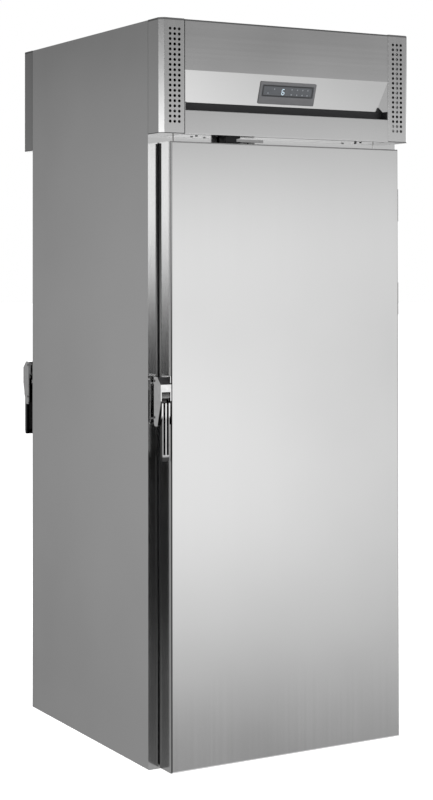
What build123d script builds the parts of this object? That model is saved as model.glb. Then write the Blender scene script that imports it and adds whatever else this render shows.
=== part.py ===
from build123d import *
import math
import os

os.makedirs("parts", exist_ok=True)

# Roll-through refrigerator for trolleys: a door and a header at the front and at the rear.
# Frame: origin at the middle of the floor, +X to the right of the front door, +Y to the rear, +Z up.

# Cabinet, overall
width = 900.0
body_depth = 850.0
height = 2230.0
header_reach = 80.0
header_bottom = 1888.0

# Sheets and walls
skin = 1.5
lining = 1.2
wall_thickness = 70.0
ceiling_thickness = 60.0
ceiling_height = 1892.0
bend = 2.0
crisp_bend = 0.1
side_top_flange = 20.0

# Door opening in the frame
opening_width = 730.0
opening_height = 1830.0
jamb_depth = 40.0
rail_gap = 1.5

# Doors
door_width = 820.0
door_offset = -4.5
door_top = 1865.0
door_edge_radius = 4.0
door_floor_gap = 4.0
door_frame_gap = 7.0
seat_gap = 0.3
gasket_width = 24.0
gasket_inset = 7.0
gasket_floor_gap = 4.0
groove_width = 10.0
groove_depth = 6.0
groove_play = 0.2
wiper_width = 20.0
wiper_floor_gap = 1.0

# Hinges, on the +X side
hinge_axis_inset = 20.0
hinge_axis_reach = 23.0
hinge_height = 102.0
hinge_levels = (1688.0, 1391.0)
foot_hinge_level = 62.0
foot_hinge_height = 60.0
knuckle_radius = 9.0
hinge_pin_radius = 4.0
pin_play = 0.06
leaf_thickness = 3.5
knuckle_play = 0.6
frame_leaf_width = 36.0
door_leaf_front_margin = 4.0
door_leaf_rear_margin = 2.0
foot_leaf_depth = 34.0
hinge_pin_head_radius = 7.0
hinge_pin_head = 2.0
hinge_pin_rise = 1.5
hinge_screw_reach = 13.5

# Latches, on the -X side
latch_level = 1113.0
latch_pivot_setback = 12.0
latch_body_rise = 55.0
latch_body_front_rise = 34.0
latch_body_rear_rise = 33.0
latch_body_slope = 23.0
latch_body_beak = 2.0
latch_body_reach = 35.0
latch_body_depth = 43.0
latch_cheek = 3.0
latch_cheek_front_drop = 17.0
latch_cheek_drop = 90.0
latch_cheek_taper = 21.0
latch_cheek_round = 8.0
latch_plate_drop = 12.0
latch_plate_thickness = 2.0
latch_plate_depth = 41.0
latch_plate_margin = 3.0
latch_pin_radius = 4.0
latch_pin_chamfer = 0.8
latch_slot_rise = 12.0
lever_side_play = 0.9
hook_inset = 13.5
lever_hub_radius = 9.5
lever_neck_width = 15.2
lever_neck_setback = 12.0
lever_neck_depth = 22.0
lever_shoulder_drop = 20.0
lever_shoulder_length = 38.0
lever_heel_drop = 73.0
lever_heel_length = 12.0
lever_heel_depth = 38.0
lever_drop = 193.0
lever_grip_width = 22.0
lever_grip_depth = 16.0
lever_groove_width = 7.0
lever_groove_spacing = 11.4
lever_groove_depth = 11.0
lever_groove_end = 6.0
lever_end = 14.0
lever_round = 4.0
hook_thickness = 6.0
hook_reach = 53.0
hook_nose = 5.0
hook_drop = 4.5
hook_height = 12.0
hook_root = 1.0
hook_entry = 1.0
hook_slot_gap = 1.5
hook_gap = 0.5
strike_drop = 90.0
strike_height = 145.0
strike_channel = 14.2
strike_inner_gap = 3.5
strike_width = 29.0
strike_thickness = 3.0
strike_reach = 33.0
strike_cheek = 2.4
strike_end_margin = 7.0
strike_round = 12.0
strike_plate_round = 9.6
strike_pin_radius = 3.5
strike_pin_setback = 24.0
strike_screw_inset = 5.2
strike_screw_margin = 20.0

# Screws
screw_radius = 2.0
screw_play = 0.05
screw_head_radius = 3.5
screw_head = 2.0
soffit_screw_radius = 4.0
soffit_screw_length = 8.0
soffit_screws = ((-293.0, 15.0), (-236.0, 37.0), (272.0, 37.0), (306.0, 15.0))

# Door switch over the front door, on its latch side
switch_inset = 205.5
switch_length = 53.0
switch_depth = 38.0
switch_drop = 19.0
switch_pivot_inset = 45.0
switch_pin_radius = 2.5
switch_hub_radius = 6.0
switch_slot_drop = 5.0
switch_slot_height = 10.0
switch_play = 0.4
switch_strip = 2.0
switch_strip_reach = 100.0
switch_foot_reach = 65.0
switch_foot_width = 8.0
switch_foot_drop = 6.0
switch_foot_gap = 1.5

# Header pillars and fascia
header_chamfer = 13.0
pillar_gap = 1.2
pillar_front = 81.0
pillar_return = 33.0
vent_pitch = 15.25
vent_rows = 19
vent_columns = 3
vent_radius = 4.5
vent_row_rise = 35.5
vent_column_inset = 18.0
fascia_gap = 1.5
fascia_top_gap = 1.0
recess_top = 2078.0
recess_bottom = 1984.0
recess_angle = 18.0
sill_top = 1959.0
fascia_return = 18.0
soffit_depth = 53.0

# Controller in the sloping recess
bezel_width = 202.0
bezel_height = 70.0
bezel_level = 2025.5
bezel_proud = 3.0
bezel_corner = 4.0
display_width = 188.0
display_height = 38.0
display_rise = 7.0
housing_width = 184.0
housing_height = 52.0
housing_depth = 48.0

# Evaporator over the ceiling opening
cooler_x = 310.0
cooler_front = -20.0
cooler_rear = 350.0
cooler_wall = 40.0
cooler_rise = 198.0
coil_x = 20.0
coil_thickness = 80.0
coil_drop = 7.0
coil_height = 175.0
coil_fin_pitch = 14.0
coil_tube_radius = 5.0
air_panel_drop = 47.0
cooler_fan_x = -170.0
cooler_fan_radius = 100.0
cooler_fan_rise = 23.0

# Condensing unit on the roof, behind the front header
unit_left = -350.0
unit_right = 400.0
unit_setback = 15.0
unit_rear = -95.0
unit_sheet = 2.0
compressor_x = -215.0
compressor_setback = 180.0
compressor_radius = 92.0
compressor_height = 190.0
mount_height = 16.0
condenser_x = 210.0
condenser_setback = 60.0
condenser_width = 290.0
condenser_depth = 66.0
condenser_height = 205.0
condenser_fin_pitch = 10.0
condenser_fan_radius = 92.0
pipe_radius = 4.0

# Small sizes of the sheet pieces
deck_upstand = 20.0
bumper_levels = (260.0, 900.0)
bumper_width = 60.0
bumper_thickness = 6.0
bumper_standoff = 14.0
bumper_standoff_radius = 8.0
bumper_spacing = 320.0
bumper_end_gap = 8.0
joggle_width = 14.0
joggle_margin = 15.0
soffit_lip = 10.0
soffit_upstand = 22.0
tie_width = 30.0
tie_inset = 18.0
tie_play = 0.5
cover_play = 0.5
cover_setback = 35.0
cover_flange = 12.0
slot_flange = 8.0
sill_flange = 10.0
housing_play = 0.5
skin_play = 0.3

pivot_radius = 4.0
pivot_drop = 13.0
pivot_setback = 9.0
pivot_head_radius = 7.0
pivot_head = 2.0
grille_wall = 3.0
grille_depth = 2.5
grille_bottom = 1930.0
grille_slot_width = 4.0
grille_slot_height = 18.0
grille_slot_pitch = 10.0
grille_slot_count = 70

cooler_corner = 8.0
coil_rows = 5
coil_tube_margin = 20.0
coil_plate = 2.0
coil_plate_lap = 6.0
tray_rise = 13.0
tray_height = 25.0
panel_lap = 20.0
outlet_left = 120.0
outlet_length = 190.0
outlet_width = 36.0
outlet_pitch = 62.0
outlet_count = 5
guard_bar = 8.0
guard_ring = 4.0
guard_gap = 20.0
fan_hub_radius = 26.0
fan_hub_length = 26.0
fan_blades = 5
fan_blade_root = 3.0
fan_blade_chord_share = 0.55
fan_blade_thickness = 2.5
fan_blade_pitch = 32.0
fan_tip_gap = 5.0
fan_shaft_radius = 4.0
cooler_motor_radius = 34.0
cooler_motor_round = 4.25
cooler_motor_length = 42.0
cooler_motor_gap = 8.0
strap_width = 34.0
strap_thickness = 3.0
lamp_length = 500.0
lamp_width = 34.0
lamp_depth = 15.0
lamp_round = 6.0
lamp_y = -315.0
unit_lip = 14.0
unit_corner = 6.0
mount_radius = 13.0
mount_spacing_x = 176.0
mount_spacing_y = 116.0
feet_plate = 3.0
feet_margin = 16.0
shell_seam = 4.0
shell_seam_height = 105.0
shell_dome = 52.0
terminal_rise = 40.0
terminal_width = 62.0
terminal_depth = 34.0
terminal_height = 54.0
stub_radius = 6.0
stub_reach = 14.0
discharge_rise = 120.0
suction_rise = 118.0
stub_offset = 30.0
fin_thickness = 1.0
condenser_rows = 6
shroud_depth = 34.0
shroud_sheet = 1.5
motor_radius = 36.0
motor_round = 4.5
motor_length = 60.0
motor_gap = 14.0
motor_stand_width = 44.0
motor_stand_thickness = 4.0
drier_radius = 11.0
drier_length = 96.0
box_width = 78.0
box_length = 200.0
box_height = 135.0
box_side_gap = 8.0
box_front = -60.0
box_wall = 3.0
box_corner = 5.0
gland_radius = 11.0
gland_nut_radius = 13.2
gland_nut_length = 6.0
gland_rise = 45.0
gland_length = 24.0
gland_bore = 4.0
pipe_bend = 15.0
liquid_rise = 90.0

# Worked out from the sizes above
half_width = width / 2
half_depth = body_depth / 2
front = -half_depth
header_front = front - header_reach
roof = ceiling_height + ceiling_thickness
lining_x = half_width - wall_thickness
opening_x = opening_width / 2
door_left = door_offset - door_width / 2
door_right = door_offset + door_width / 2
door_front = header_front
door_back = front - door_frame_gap
door_middle = (door_front + door_back) / 2
gasket_y = front - seat_gap
gasket_foot = door_floor_gap + gasket_floor_gap
gasket_top = door_top - gasket_inset
hinge_x = door_right + hinge_axis_inset
hinge_y = front - hinge_axis_reach
hinges = [(level, hinge_height) for level in hinge_levels] + [(foot_hinge_level, foot_hinge_height)]
latch_x = door_left - latch_body_reach / 2
hook_x = door_left - hook_inset
latch_y = door_front + latch_pivot_setback
latch_rear = door_front + latch_body_depth
strike_right = door_left - strike_inner_gap
latch_body_top = latch_level + latch_body_rise
latch_body_front_top = latch_level + latch_body_front_rise
latch_body_rear_top = latch_level + latch_body_rear_rise
latch_cheek_bottom = latch_level - latch_cheek_drop
latch_slot_top = latch_level + latch_slot_rise
lever_width = latch_body_reach - 2 * (latch_cheek + lever_side_play)
lever_shoulder = latch_level - lever_shoulder_drop
lever_heel_top = latch_level - lever_heel_drop
lever_heel_bottom = lever_heel_top - lever_heel_length
lever_bottom = latch_level - lever_drop
strike_bottom = latch_level - strike_drop
hinge_screws = [
    (hinge_x + side * hinge_screw_reach, level + end * leaf_height / 3)
    for level, leaf_height in hinges
    for side in (-1, 1)
    for end in (-1, 1)
]
strike_screws = [
    (strike_right - strike_width + strike_screw_inset, strike_bottom + strike_screw_margin),
    (strike_right - strike_width + strike_screw_inset, strike_bottom + strike_height - strike_screw_margin),
]
switch_left = door_left + switch_inset
switch_rear = door_back
switch_front = switch_rear - switch_depth
switch_pivot_x = switch_left + switch_pivot_inset
switch_pivot_y = (switch_front + switch_rear) / 2
switch_slot_top = header_bottom - switch_slot_drop
switch_slot_bottom = switch_slot_top - switch_slot_height
switch_strip_end = switch_pivot_x + switch_strip_reach
switch_foot_x = switch_pivot_x + switch_foot_reach
pillar_x = half_width - pillar_front
vent_first_column = pillar_x + vent_column_inset
vent_first_row = header_bottom + vent_row_rise
fascia_x = pillar_x - fascia_gap
recess_depth = (recess_top - recess_bottom) * math.tan(math.radians(recess_angle))
recess_back = header_front + recess_depth
deck_top = roof + skin
unit_front = front + unit_setback
condenser_y = front + condenser_setback
compressor_y = front + compressor_setback
cooler_top = roof + cooler_rise
coil_bottom = roof - coil_drop
coil_top = coil_bottom + coil_height
air_panel_bottom = ceiling_height - air_panel_drop
cooler_fan_level = ceiling_height + cooler_fan_rise
tray_bottom = ceiling_height + tray_rise
bezel_tilt = math.radians(recess_angle)
bezel_plane = Plane(
    origin=(0, header_front + (recess_top - bezel_level) * math.tan(bezel_tilt), bezel_level),
    x_dir=(1, 0, 0),
    z_dir=(0, -math.cos(bezel_tilt), -math.sin(bezel_tilt)),
)


def fan_rotor(plane, radius):
    """Axial fan: a hub with pitched blades round the plane's axis, bored for its shaft."""
    with BuildPart(plane) as rotor:
        Cylinder(fan_hub_radius, fan_hub_length)
        with PolarLocations(0, fan_blades):
            with Locations(Location((fan_hub_radius - fan_blade_root, 0, 0), (fan_blade_pitch, 0, 0))):
                Box(
                    radius - fan_tip_gap - fan_hub_radius + fan_blade_root,
                    radius * fan_blade_chord_share,
                    fan_blade_thickness,
                    align=(Align.MIN, Align.CENTER, Align.CENTER),
                )
        Cylinder(radius - fan_tip_gap, 2 * radius, mode=Mode.INTERSECT)
        Cylinder(fan_shaft_radius + pin_play, 2 * radius, mode=Mode.SUBTRACT)
    return rotor.part


def folded_sheet(points, thickness, radius):
    """Section of a folded sheet: the points run along its outer face, the metal lies on the left."""
    with BuildLine() as edge:
        FilletPolyline(*points, radius=radius)
        offset(amount=thickness, side=Side.LEFT)
    make_face(edge.edges())


# Side panels: outer skins from the floor to the top, folded inwards at the floor and at the top.
with BuildPart() as side_panel_left:
    with BuildSketch(Plane.XZ.offset(-half_depth)):
        folded_sheet(
            [
                (-lining_x - lining - skin, 0),
                (-half_width, 0),
                (-half_width, height),
                (-half_width + side_top_flange, height),
            ][::-1],
            skin,
            bend,
        )
    extrude(amount=body_depth)
side_panel_left.part.label = "side_panel_left"
export_step(side_panel_left.part, "parts/side_panel_left.step")

with BuildPart() as side_panel_right:
    mirror(side_panel_left.part, about=Plane.YZ)
side_panel_right.part.label = "side_panel_right"
export_step(side_panel_right.part, "parts/side_panel_right.step")

# Foam of the side walls, with an ear inside each frame post.
with BuildPart() as side_insulation:
    with BuildSketch(Plane.XY.offset(skin)):
        with BuildLine():
            Polyline(
                (-half_width + skin, front + skin),
                (-opening_x - skin, front + skin),
                (-opening_x - skin, front + jamb_depth - skin),
                (-lining_x - lining, front + jamb_depth - skin),
                (-lining_x - lining, 0),
                (-half_width + skin, 0),
                close=True,
            )
        make_face()
        inner_corner = (-opening_x - skin, front + jamb_depth - skin, 0)
        fillet(vertices().sort_by_distance(inner_corner)[0], bend)
        fillet(vertices().group_by(Axis.Y)[0], bend)
        mirror(about=Plane.XZ)
        mirror(about=Plane.YZ)
    extrude(amount=roof - skin)
    fillet(edges().group_by(Axis.Z)[0].filter_by(Axis.Y).group_by(Axis.X)[0], bend)
    fillet(edges().group_by(Axis.Z)[0].filter_by(Axis.Y).group_by(Axis.X)[-1], bend)
side_insulation.part.label = "side_insulation"
export_step(side_insulation.part, "parts/side_insulation.step")

# Inner wall sheets, one on each side.
with BuildPart() as side_linings:
    with Locations((-lining_x, 0, skin)):
        Box(
            lining,
            body_depth - 2 * jamb_depth,
            ceiling_height - lining - skin,
            align=(Align.MAX, Align.CENTER, Align.MIN),
        )
    mirror(about=Plane.YZ)
side_linings.part.label = "side_linings"
export_step(side_linings.part, "parts/side_linings.step")

# Floor sheet between the two side walls, flush with the building floor.
with BuildPart() as floor_plate:
    with BuildSketch():
        Rectangle(2 * (lining_x + lining), body_depth)
    extrude(amount=skin)
floor_plate.part.label = "floor_plate"
export_step(floor_plate.part, "parts/floor_plate.step")

# Four frame posts: face, jamb and return, folded from one sheet each.
with BuildPart() as frame_posts:
    with BuildSketch(Plane.XY.offset(skin)):
        folded_sheet(
            [
                (-half_width + skin, front),
                (-opening_x, front),
                (-opening_x, front + jamb_depth),
                (-lining_x - lining, front + jamb_depth),
            ],
            skin,
            bend,
        )
        mirror(about=Plane.XZ)
        mirror(about=Plane.YZ)
    extrude(amount=roof - skin)
    for plane in (Plane.XZ.offset(-front), Plane.XZ.offset(front + skin)):
        with BuildSketch(plane):
            with Locations(*hinge_screws, *strike_screws):
                Circle(screw_radius + screw_play)
        extrude(amount=-skin, mode=Mode.SUBTRACT)
frame_posts.part.label = "frame_posts"
export_step(frame_posts.part, "parts/frame_posts.step")

# Top rails of the two frames, hung between the posts.
with BuildPart() as frame_rails:
    with BuildSketch(Plane.YZ.offset(-opening_x + rail_gap)):
        folded_sheet(
            [
                (front, roof),
                (front, opening_height),
                (front + jamb_depth, opening_height),
                (front + jamb_depth, ceiling_height - lining),
            ],
            skin,
            bend,
        )
        mirror(about=Plane.YZ)
    extrude(amount=opening_width - 2 * rail_gap)
frame_rails.part.label = "frame_rails"
export_step(frame_rails.part, "parts/frame_rails.step")

# Ceiling foam: a slab open over the cooler, with a filling inside each top rail.
with BuildPart() as ceiling_insulation:
    with BuildSketch(Plane.YZ.offset(-opening_x + rail_gap)):
        with BuildLine():
            Polyline(
                (front + skin, roof),
                (front + skin, opening_height + skin),
                (front + jamb_depth - skin, opening_height + skin),
                (front + jamb_depth - skin, ceiling_height),
                (0, ceiling_height),
                (0, roof),
                close=True,
            )
        make_face()
        fillet(vertices().group_by(Axis.Y)[0], bend)
        mirror(about=Plane.YZ)
    extrude(amount=opening_width - 2 * rail_gap)
    with BuildSketch(Plane.XY.offset(ceiling_height)):
        Rectangle(2 * (lining_x + lining), body_depth - 2 * jamb_depth)
    extrude(amount=ceiling_thickness)
    with BuildSketch(Plane.XY.offset(ceiling_height)):
        with Locations((0, (cooler_front + cooler_rear) / 2)):
            Rectangle(2 * cooler_x, cooler_rear - cooler_front)
    extrude(amount=ceiling_thickness, mode=Mode.SUBTRACT)
ceiling_insulation.part.label = "ceiling_insulation"
export_step(ceiling_insulation.part, "parts/ceiling_insulation.step")

# Ceiling sheet of the cabin, open over the cooler.
with BuildPart() as ceiling_lining:
    with BuildSketch(Plane.XY.offset(ceiling_height - lining)):
        Rectangle(2 * (lining_x + lining), body_depth - 2 * jamb_depth)
        with Locations((0, (cooler_front + cooler_rear) / 2)):
            Rectangle(2 * cooler_x, cooler_rear - cooler_front, mode=Mode.SUBTRACT)
    extrude(amount=lining)
ceiling_lining.part.label = "ceiling_lining"
export_step(ceiling_lining.part, "parts/ceiling_lining.step")

# Galvanised deck on the ceiling foam, turned up along the side panels.
with BuildPart() as roof_deck:
    with BuildSketch(Plane.XZ.offset(-half_depth + skin)):
        folded_sheet(
            [
                (-half_width + skin, roof + deck_upstand),
                (-half_width + skin, roof),
                (half_width - skin, roof),
                (half_width - skin, roof + deck_upstand),
            ],
            skin,
            bend,
        )
    extrude(amount=body_depth - 2 * skin)
    with BuildSketch(Plane.XY.offset(roof)):
        with Locations((0, (cooler_front + cooler_rear) / 2)):
            Rectangle(2 * cooler_x, cooler_rear - cooler_front)
    extrude(amount=skin, mode=Mode.SUBTRACT)
roof_deck.part.label = "roof_deck"
export_step(roof_deck.part, "parts/roof_deck.step")

# Bumper rails that keep a trolley off the linings: a flat bar on stand-offs, two on each side.
with BuildPart() as bumper_rails:
    for level in bumper_levels:
        with BuildSketch(Plane.XY.offset(level)):
            with Locations((-lining_x + bumper_standoff, 0)):
                Rectangle(
                    bumper_thickness,
                    body_depth - 2 * jamb_depth - 2 * bumper_end_gap,
                    align=(Align.MIN, Align.CENTER),
                )
        extrude(amount=bumper_width)
        with BuildSketch(Plane.YZ.offset(-lining_x)):
            with Locations((0, level + bumper_width / 2)):
                with GridLocations(bumper_spacing, 1, 3, 1):
                    Circle(bumper_standoff_radius)
        extrude(amount=bumper_standoff)
    mirror(about=Plane.YZ)
bumper_rails.part.label = "bumper_rails"
export_step(bumper_rails.part, "parts/bumper_rails.step")

# Corner pillars of the two headers: side, chamfer and perforated front from one folded sheet,
# with a closed foot, a capped top and a joggled flange behind the side panel.
with BuildPart() as header_pillars:
    with BuildSketch(Plane.XY.offset(header_bottom)):
        folded_sheet(
            [
                (-half_width, front - pillar_gap),
                (-half_width, header_front + header_chamfer),
                (-half_width + header_chamfer, header_front),
                (-pillar_x, header_front),
                (-pillar_x, header_front + pillar_return),
            ],
            skin,
            skin + crisp_bend,
        )
    extrude(amount=height - header_bottom)
    with BuildSketch(Plane.XY.offset(header_bottom)):
        with BuildLine():
            Polyline(
                (-half_width + skin, front),
                (-half_width + skin, header_front + header_chamfer),
                (-half_width + header_chamfer, header_front + skin),
                (-pillar_x - skin, header_front + skin),
                (-pillar_x - skin, front),
                close=True,
            )
        make_face()
    extrude(amount=skin)
    with BuildSketch(Plane.XY.offset(height - skin)):
        with BuildLine():
            Polyline(
                (-half_width + skin, header_front + pillar_return),
                (-half_width + skin, header_front + header_chamfer),
                (-half_width + header_chamfer, header_front + skin),
                (-pillar_x - skin, header_front + skin),
                (-pillar_x - skin, header_front + pillar_return),
                close=True,
            )
        make_face()
    extrude(amount=skin)
    with BuildSketch(Plane.XY.offset(roof + deck_upstand + joggle_margin)):
        with Locations((-half_width + skin, front)):
            Rectangle(skin, 2 * joggle_width, align=(Align.MIN, Align.CENTER))
    extrude(amount=height - roof - deck_upstand - joggle_margin - side_top_flange)
    with BuildSketch(Plane.XZ.offset(-header_front)):
        with Locations(
            (
                -vent_first_column - (vent_columns - 1) * vent_pitch / 2,
                vent_first_row + (vent_rows - 1) * vent_pitch / 2,
            )
        ):
            with GridLocations(vent_pitch, vent_pitch, vent_columns, vent_rows):
                Circle(vent_radius)
    extrude(amount=-2 * skin, mode=Mode.SUBTRACT)
    with BuildSketch(Plane.YZ.offset(-pillar_x)):
        with Locations((header_front + pivot_setback, height - pivot_drop)):
            Circle(pivot_radius)
    extrude(amount=-skin, mode=Mode.SUBTRACT)
    mirror(about=Plane.YZ)
    mirror(about=Plane.XZ)
header_pillars.part.label = "header_pillars"
export_step(header_pillars.part, "parts/header_pillars.step")

# Undersides of the two headers, screwed up against the frames.
with BuildPart() as header_soffits:
    with BuildSketch(Plane.YZ.offset(-fascia_x)):
        folded_sheet(
            [
                (front - soffit_depth, header_bottom + soffit_lip),
                (front - soffit_depth, header_bottom),
                (front, header_bottom),
                (front, header_bottom + soffit_upstand),
            ],
            skin,
            bend,
        )
        mirror(about=Plane.YZ)
    extrude(amount=2 * fascia_x)
    with BuildSketch(Plane.XY.offset(header_bottom)):
        for screw_x, setback in soffit_screws:
            with Locations((screw_x, front - setback)):
                Circle(screw_radius + screw_play)
        mirror(about=Plane.XZ)
    extrude(amount=skin, mode=Mode.SUBTRACT)
header_soffits.part.label = "header_soffits"
export_step(header_soffits.part, "parts/header_soffits.step")

# Angle bars that tie the side panels together over the machine space.
with BuildPart() as top_ties:
    with BuildSketch(Plane.YZ.offset(-half_width + skin + tie_play)):
        folded_sheet(
            [
                (front + tie_inset, height - skin - tie_width),
                (front + tie_inset, height - skin),
                (front + tie_inset + tie_width, height - skin),
            ][::-1],
            skin,
            bend,
        )
        mirror(about=Plane.YZ)
    extrude(amount=width - 2 * skin - 2 * tie_play)
top_ties.part.label = "top_ties"
export_step(top_ties.part, "parts/top_ties.step")

# Lid of the machine space: it lies on the angle bars between the top folds of the side panels.
with BuildPart() as top_cover:
    cover_y = header_front + cover_setback
    with BuildSketch(Plane.YZ.offset(-half_width + side_top_flange + cover_play)):
        folded_sheet(
            [
                (-cover_y, height - cover_flange),
                (-cover_y, height),
                (cover_y, height),
                (cover_y, height - cover_flange),
            ],
            skin,
            bend,
        )
    extrude(amount=width - 2 * side_top_flange - 2 * cover_play)
top_cover.part.label = "top_cover"
export_step(top_cover.part, "parts/top_cover.step")

# Front fascia: one folded sheet with a sloping recess, an intake slot and two end flanges.
with BuildPart() as front_fascia:
    with BuildSketch(Plane.YZ.offset(-fascia_x)):
        folded_sheet(
            [
                (header_front + fascia_return, height - fascia_top_gap),
                (header_front, height - fascia_top_gap),
                (header_front, recess_top),
                (recess_back, recess_bottom),
                (recess_back + slot_flange, recess_bottom),
            ],
            skin,
            skin + crisp_bend,
        )
        folded_sheet(
            [
                (header_front + sill_flange, sill_top),
                (header_front, sill_top),
                (header_front, header_bottom),
                (header_front + fascia_return, header_bottom),
            ],
            skin,
            skin + crisp_bend,
        )
    extrude(amount=2 * fascia_x)
    for plane, depth in ((Plane.YZ.offset(-fascia_x), skin), (Plane.YZ.offset(fascia_x), -skin)):
        with BuildSketch(plane):
            with BuildLine():
                Polyline(
                    (header_front + bend, header_bottom + skin / 2),
                    (header_front + fascia_return, header_bottom + skin / 2),
                    (header_front + fascia_return, height - fascia_top_gap - skin / 2),
                    (header_front + bend, height - fascia_top_gap - skin / 2),
                    close=True,
                )
            make_face()
            with BuildLine():
                Polyline(
                    (header_front + skin / 2, recess_top),
                    (header_front + skin / 2, header_bottom + bend),
                    (header_front + bend, header_bottom + bend),
                    (header_front + bend, recess_bottom),
                    (recess_back, recess_bottom),
                    close=True,
                )
            make_face()
        extrude(amount=depth)
    with BuildSketch(bezel_plane):
        Rectangle(housing_width + 2 * housing_play, housing_height + 2 * housing_play)
    extrude(amount=-3 * skin, mode=Mode.SUBTRACT)
    with BuildSketch(Plane.YZ.offset(-fascia_x)):
        with Locations((header_front + pivot_setback, height - pivot_drop)):
            Circle(pivot_radius + pin_play)
    extrude(amount=2 * fascia_x, mode=Mode.SUBTRACT)
front_fascia.part.label = "front_fascia"
export_step(front_fascia.part, "parts/front_fascia.step")

# Pivot studs on the pillars that carry the front fascia by its end flanges.
with BuildPart() as fascia_pivots:
    with BuildSketch(Plane.YZ.offset(-pillar_x - skin)):
        with Locations((header_front + pivot_setback, height - pivot_drop)):
            Circle(pivot_radius)
    extrude(amount=2 * skin + fascia_gap + pivot_head)
    with BuildSketch(Plane.YZ.offset(-pillar_x - skin)):
        with Locations((header_front + pivot_setback, height - pivot_drop)):
            Circle(pivot_head_radius)
    extrude(amount=-pivot_head)
    mirror(about=Plane.YZ)
fascia_pivots.part.label = "fascia_pivots"
export_step(fascia_pivots.part, "parts/fascia_pivots.step")

# Black moulding behind the intake slot: a wall set back from the face, a ledge and two end walls.
with BuildPart() as intake_grille:
    with BuildSketch(Plane.YZ.offset(-fascia_x + skin)):
        with BuildLine():
            Polyline(
                (header_front + skin, grille_bottom),
                (recess_back, grille_bottom),
                (recess_back, recess_bottom - skin_play),
                (recess_back - grille_depth, recess_bottom - skin_play),
                (recess_back - grille_depth, grille_bottom + grille_depth),
                (header_front + skin, grille_bottom + grille_depth),
                close=True,
            )
        make_face()
    extrude(amount=2 * (fascia_x - skin))
    for side in (-1, 1):
        with BuildSketch(Plane.YZ.offset(side * (fascia_x - skin))):
            with Locations((header_front + skin / 2, sill_top + skin_play)):
                Rectangle(
                    recess_back - header_front - skin / 2,
                    recess_bottom - sill_top - 2 * skin_play,
                    align=(Align.MIN, Align.MIN),
                )
        extrude(amount=-side * grille_wall)
    with BuildSketch(Plane.XZ.offset(-recess_back)):
        with Locations((0, (grille_bottom + grille_depth + sill_top) / 2)):
            with GridLocations(grille_slot_pitch, 1, grille_slot_count, 1):
                SlotOverall(grille_slot_height, grille_slot_width, rotation=90)
    extrude(amount=2 * grille_depth, mode=Mode.SUBTRACT, both=True)
intake_grille.part.label = "intake_grille"
export_step(intake_grille.part, "parts/intake_grille.step")

# Controller: bezel on the slope with its housing through the sheet.
with BuildPart() as controller:
    with BuildSketch(bezel_plane):
        RectangleRounded(bezel_width, bezel_height, bezel_corner)
    extrude(amount=bezel_proud)
    bezel_axis = Axis(bezel_plane.origin, bezel_plane.z_dir)
    chamfer(faces().sort_by(bezel_axis)[-1].edges(), bezel_proud / 4)
    with BuildSketch(bezel_plane):
        Rectangle(housing_width, housing_height)
    extrude(amount=-housing_depth)
    with BuildSketch(bezel_plane.offset(bezel_proud)):
        with Locations((0, display_rise)):
            RectangleRounded(display_width, display_height, bezel_corner)
    extrude(amount=-bezel_proud / 2, mode=Mode.SUBTRACT)
controller.part.label = "controller"
export_step(controller.part, "parts/controller.step")

# Display window let into the bezel.
with BuildPart() as display_window:
    with BuildSketch(bezel_plane.offset(bezel_proud / 2)):
        with Locations((0, display_rise)):
            RectangleRounded(display_width, display_height, bezel_corner)
    extrude(amount=bezel_proud / 3)
display_window.part.label = "display_window"
export_step(display_window.part, "parts/display_window.step")

# Rear fascia: a plain folded panel screwed between the rear pillars.
rear_fascia_x = pillar_x - seat_gap
with BuildPart() as rear_fascia:
    with BuildSketch(Plane.YZ.offset(-rear_fascia_x)):
        folded_sheet(
            [
                (-header_front - fascia_return, header_bottom),
                (-header_front, header_bottom),
                (-header_front, height - fascia_top_gap),
                (-header_front - fascia_return, height - fascia_top_gap),
            ],
            skin,
            bend,
        )
    extrude(amount=2 * rear_fascia_x)
    for side in (-1, 1):
        with BuildSketch(Plane.YZ.offset(side * rear_fascia_x)):
            with Locations((-header_front - skin / 2, header_bottom + skin / 2)):
                Rectangle(
                    fascia_return - skin / 2,
                    height - fascia_top_gap - header_bottom - skin,
                    align=(Align.MAX, Align.MIN),
                )
        extrude(amount=-side * skin)
rear_fascia.part.label = "rear_fascia"
export_step(rear_fascia.part, "parts/rear_fascia.step")

# Insulated cover of the cooler, standing on the roof deck over the ceiling opening.
cooler_y = (cooler_front + cooler_rear) / 2
cooler_depth = cooler_rear - cooler_front
with BuildPart() as cooler_cover:
    with Locations((0, cooler_y, deck_top)):
        Box(
            2 * (cooler_x + cooler_wall),
            cooler_depth + 2 * cooler_wall,
            cooler_top + cooler_wall - deck_top,
            align=(Align.CENTER, Align.CENTER, Align.MIN),
        )
    fillet(edges().filter_by(Axis.Z), cooler_corner)
    fillet(edges().group_by(Axis.Z)[-1], cooler_corner / 2)
    with Locations((0, cooler_y, deck_top)):
        Box(
            2 * cooler_x,
            cooler_depth,
            cooler_top - deck_top,
            align=(Align.CENTER, Align.CENTER, Align.MIN),
            mode=Mode.SUBTRACT,
        )
cooler_cover.part.label = "cooler_cover"
export_step(cooler_cover.part, "parts/cooler_cover.step")

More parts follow.
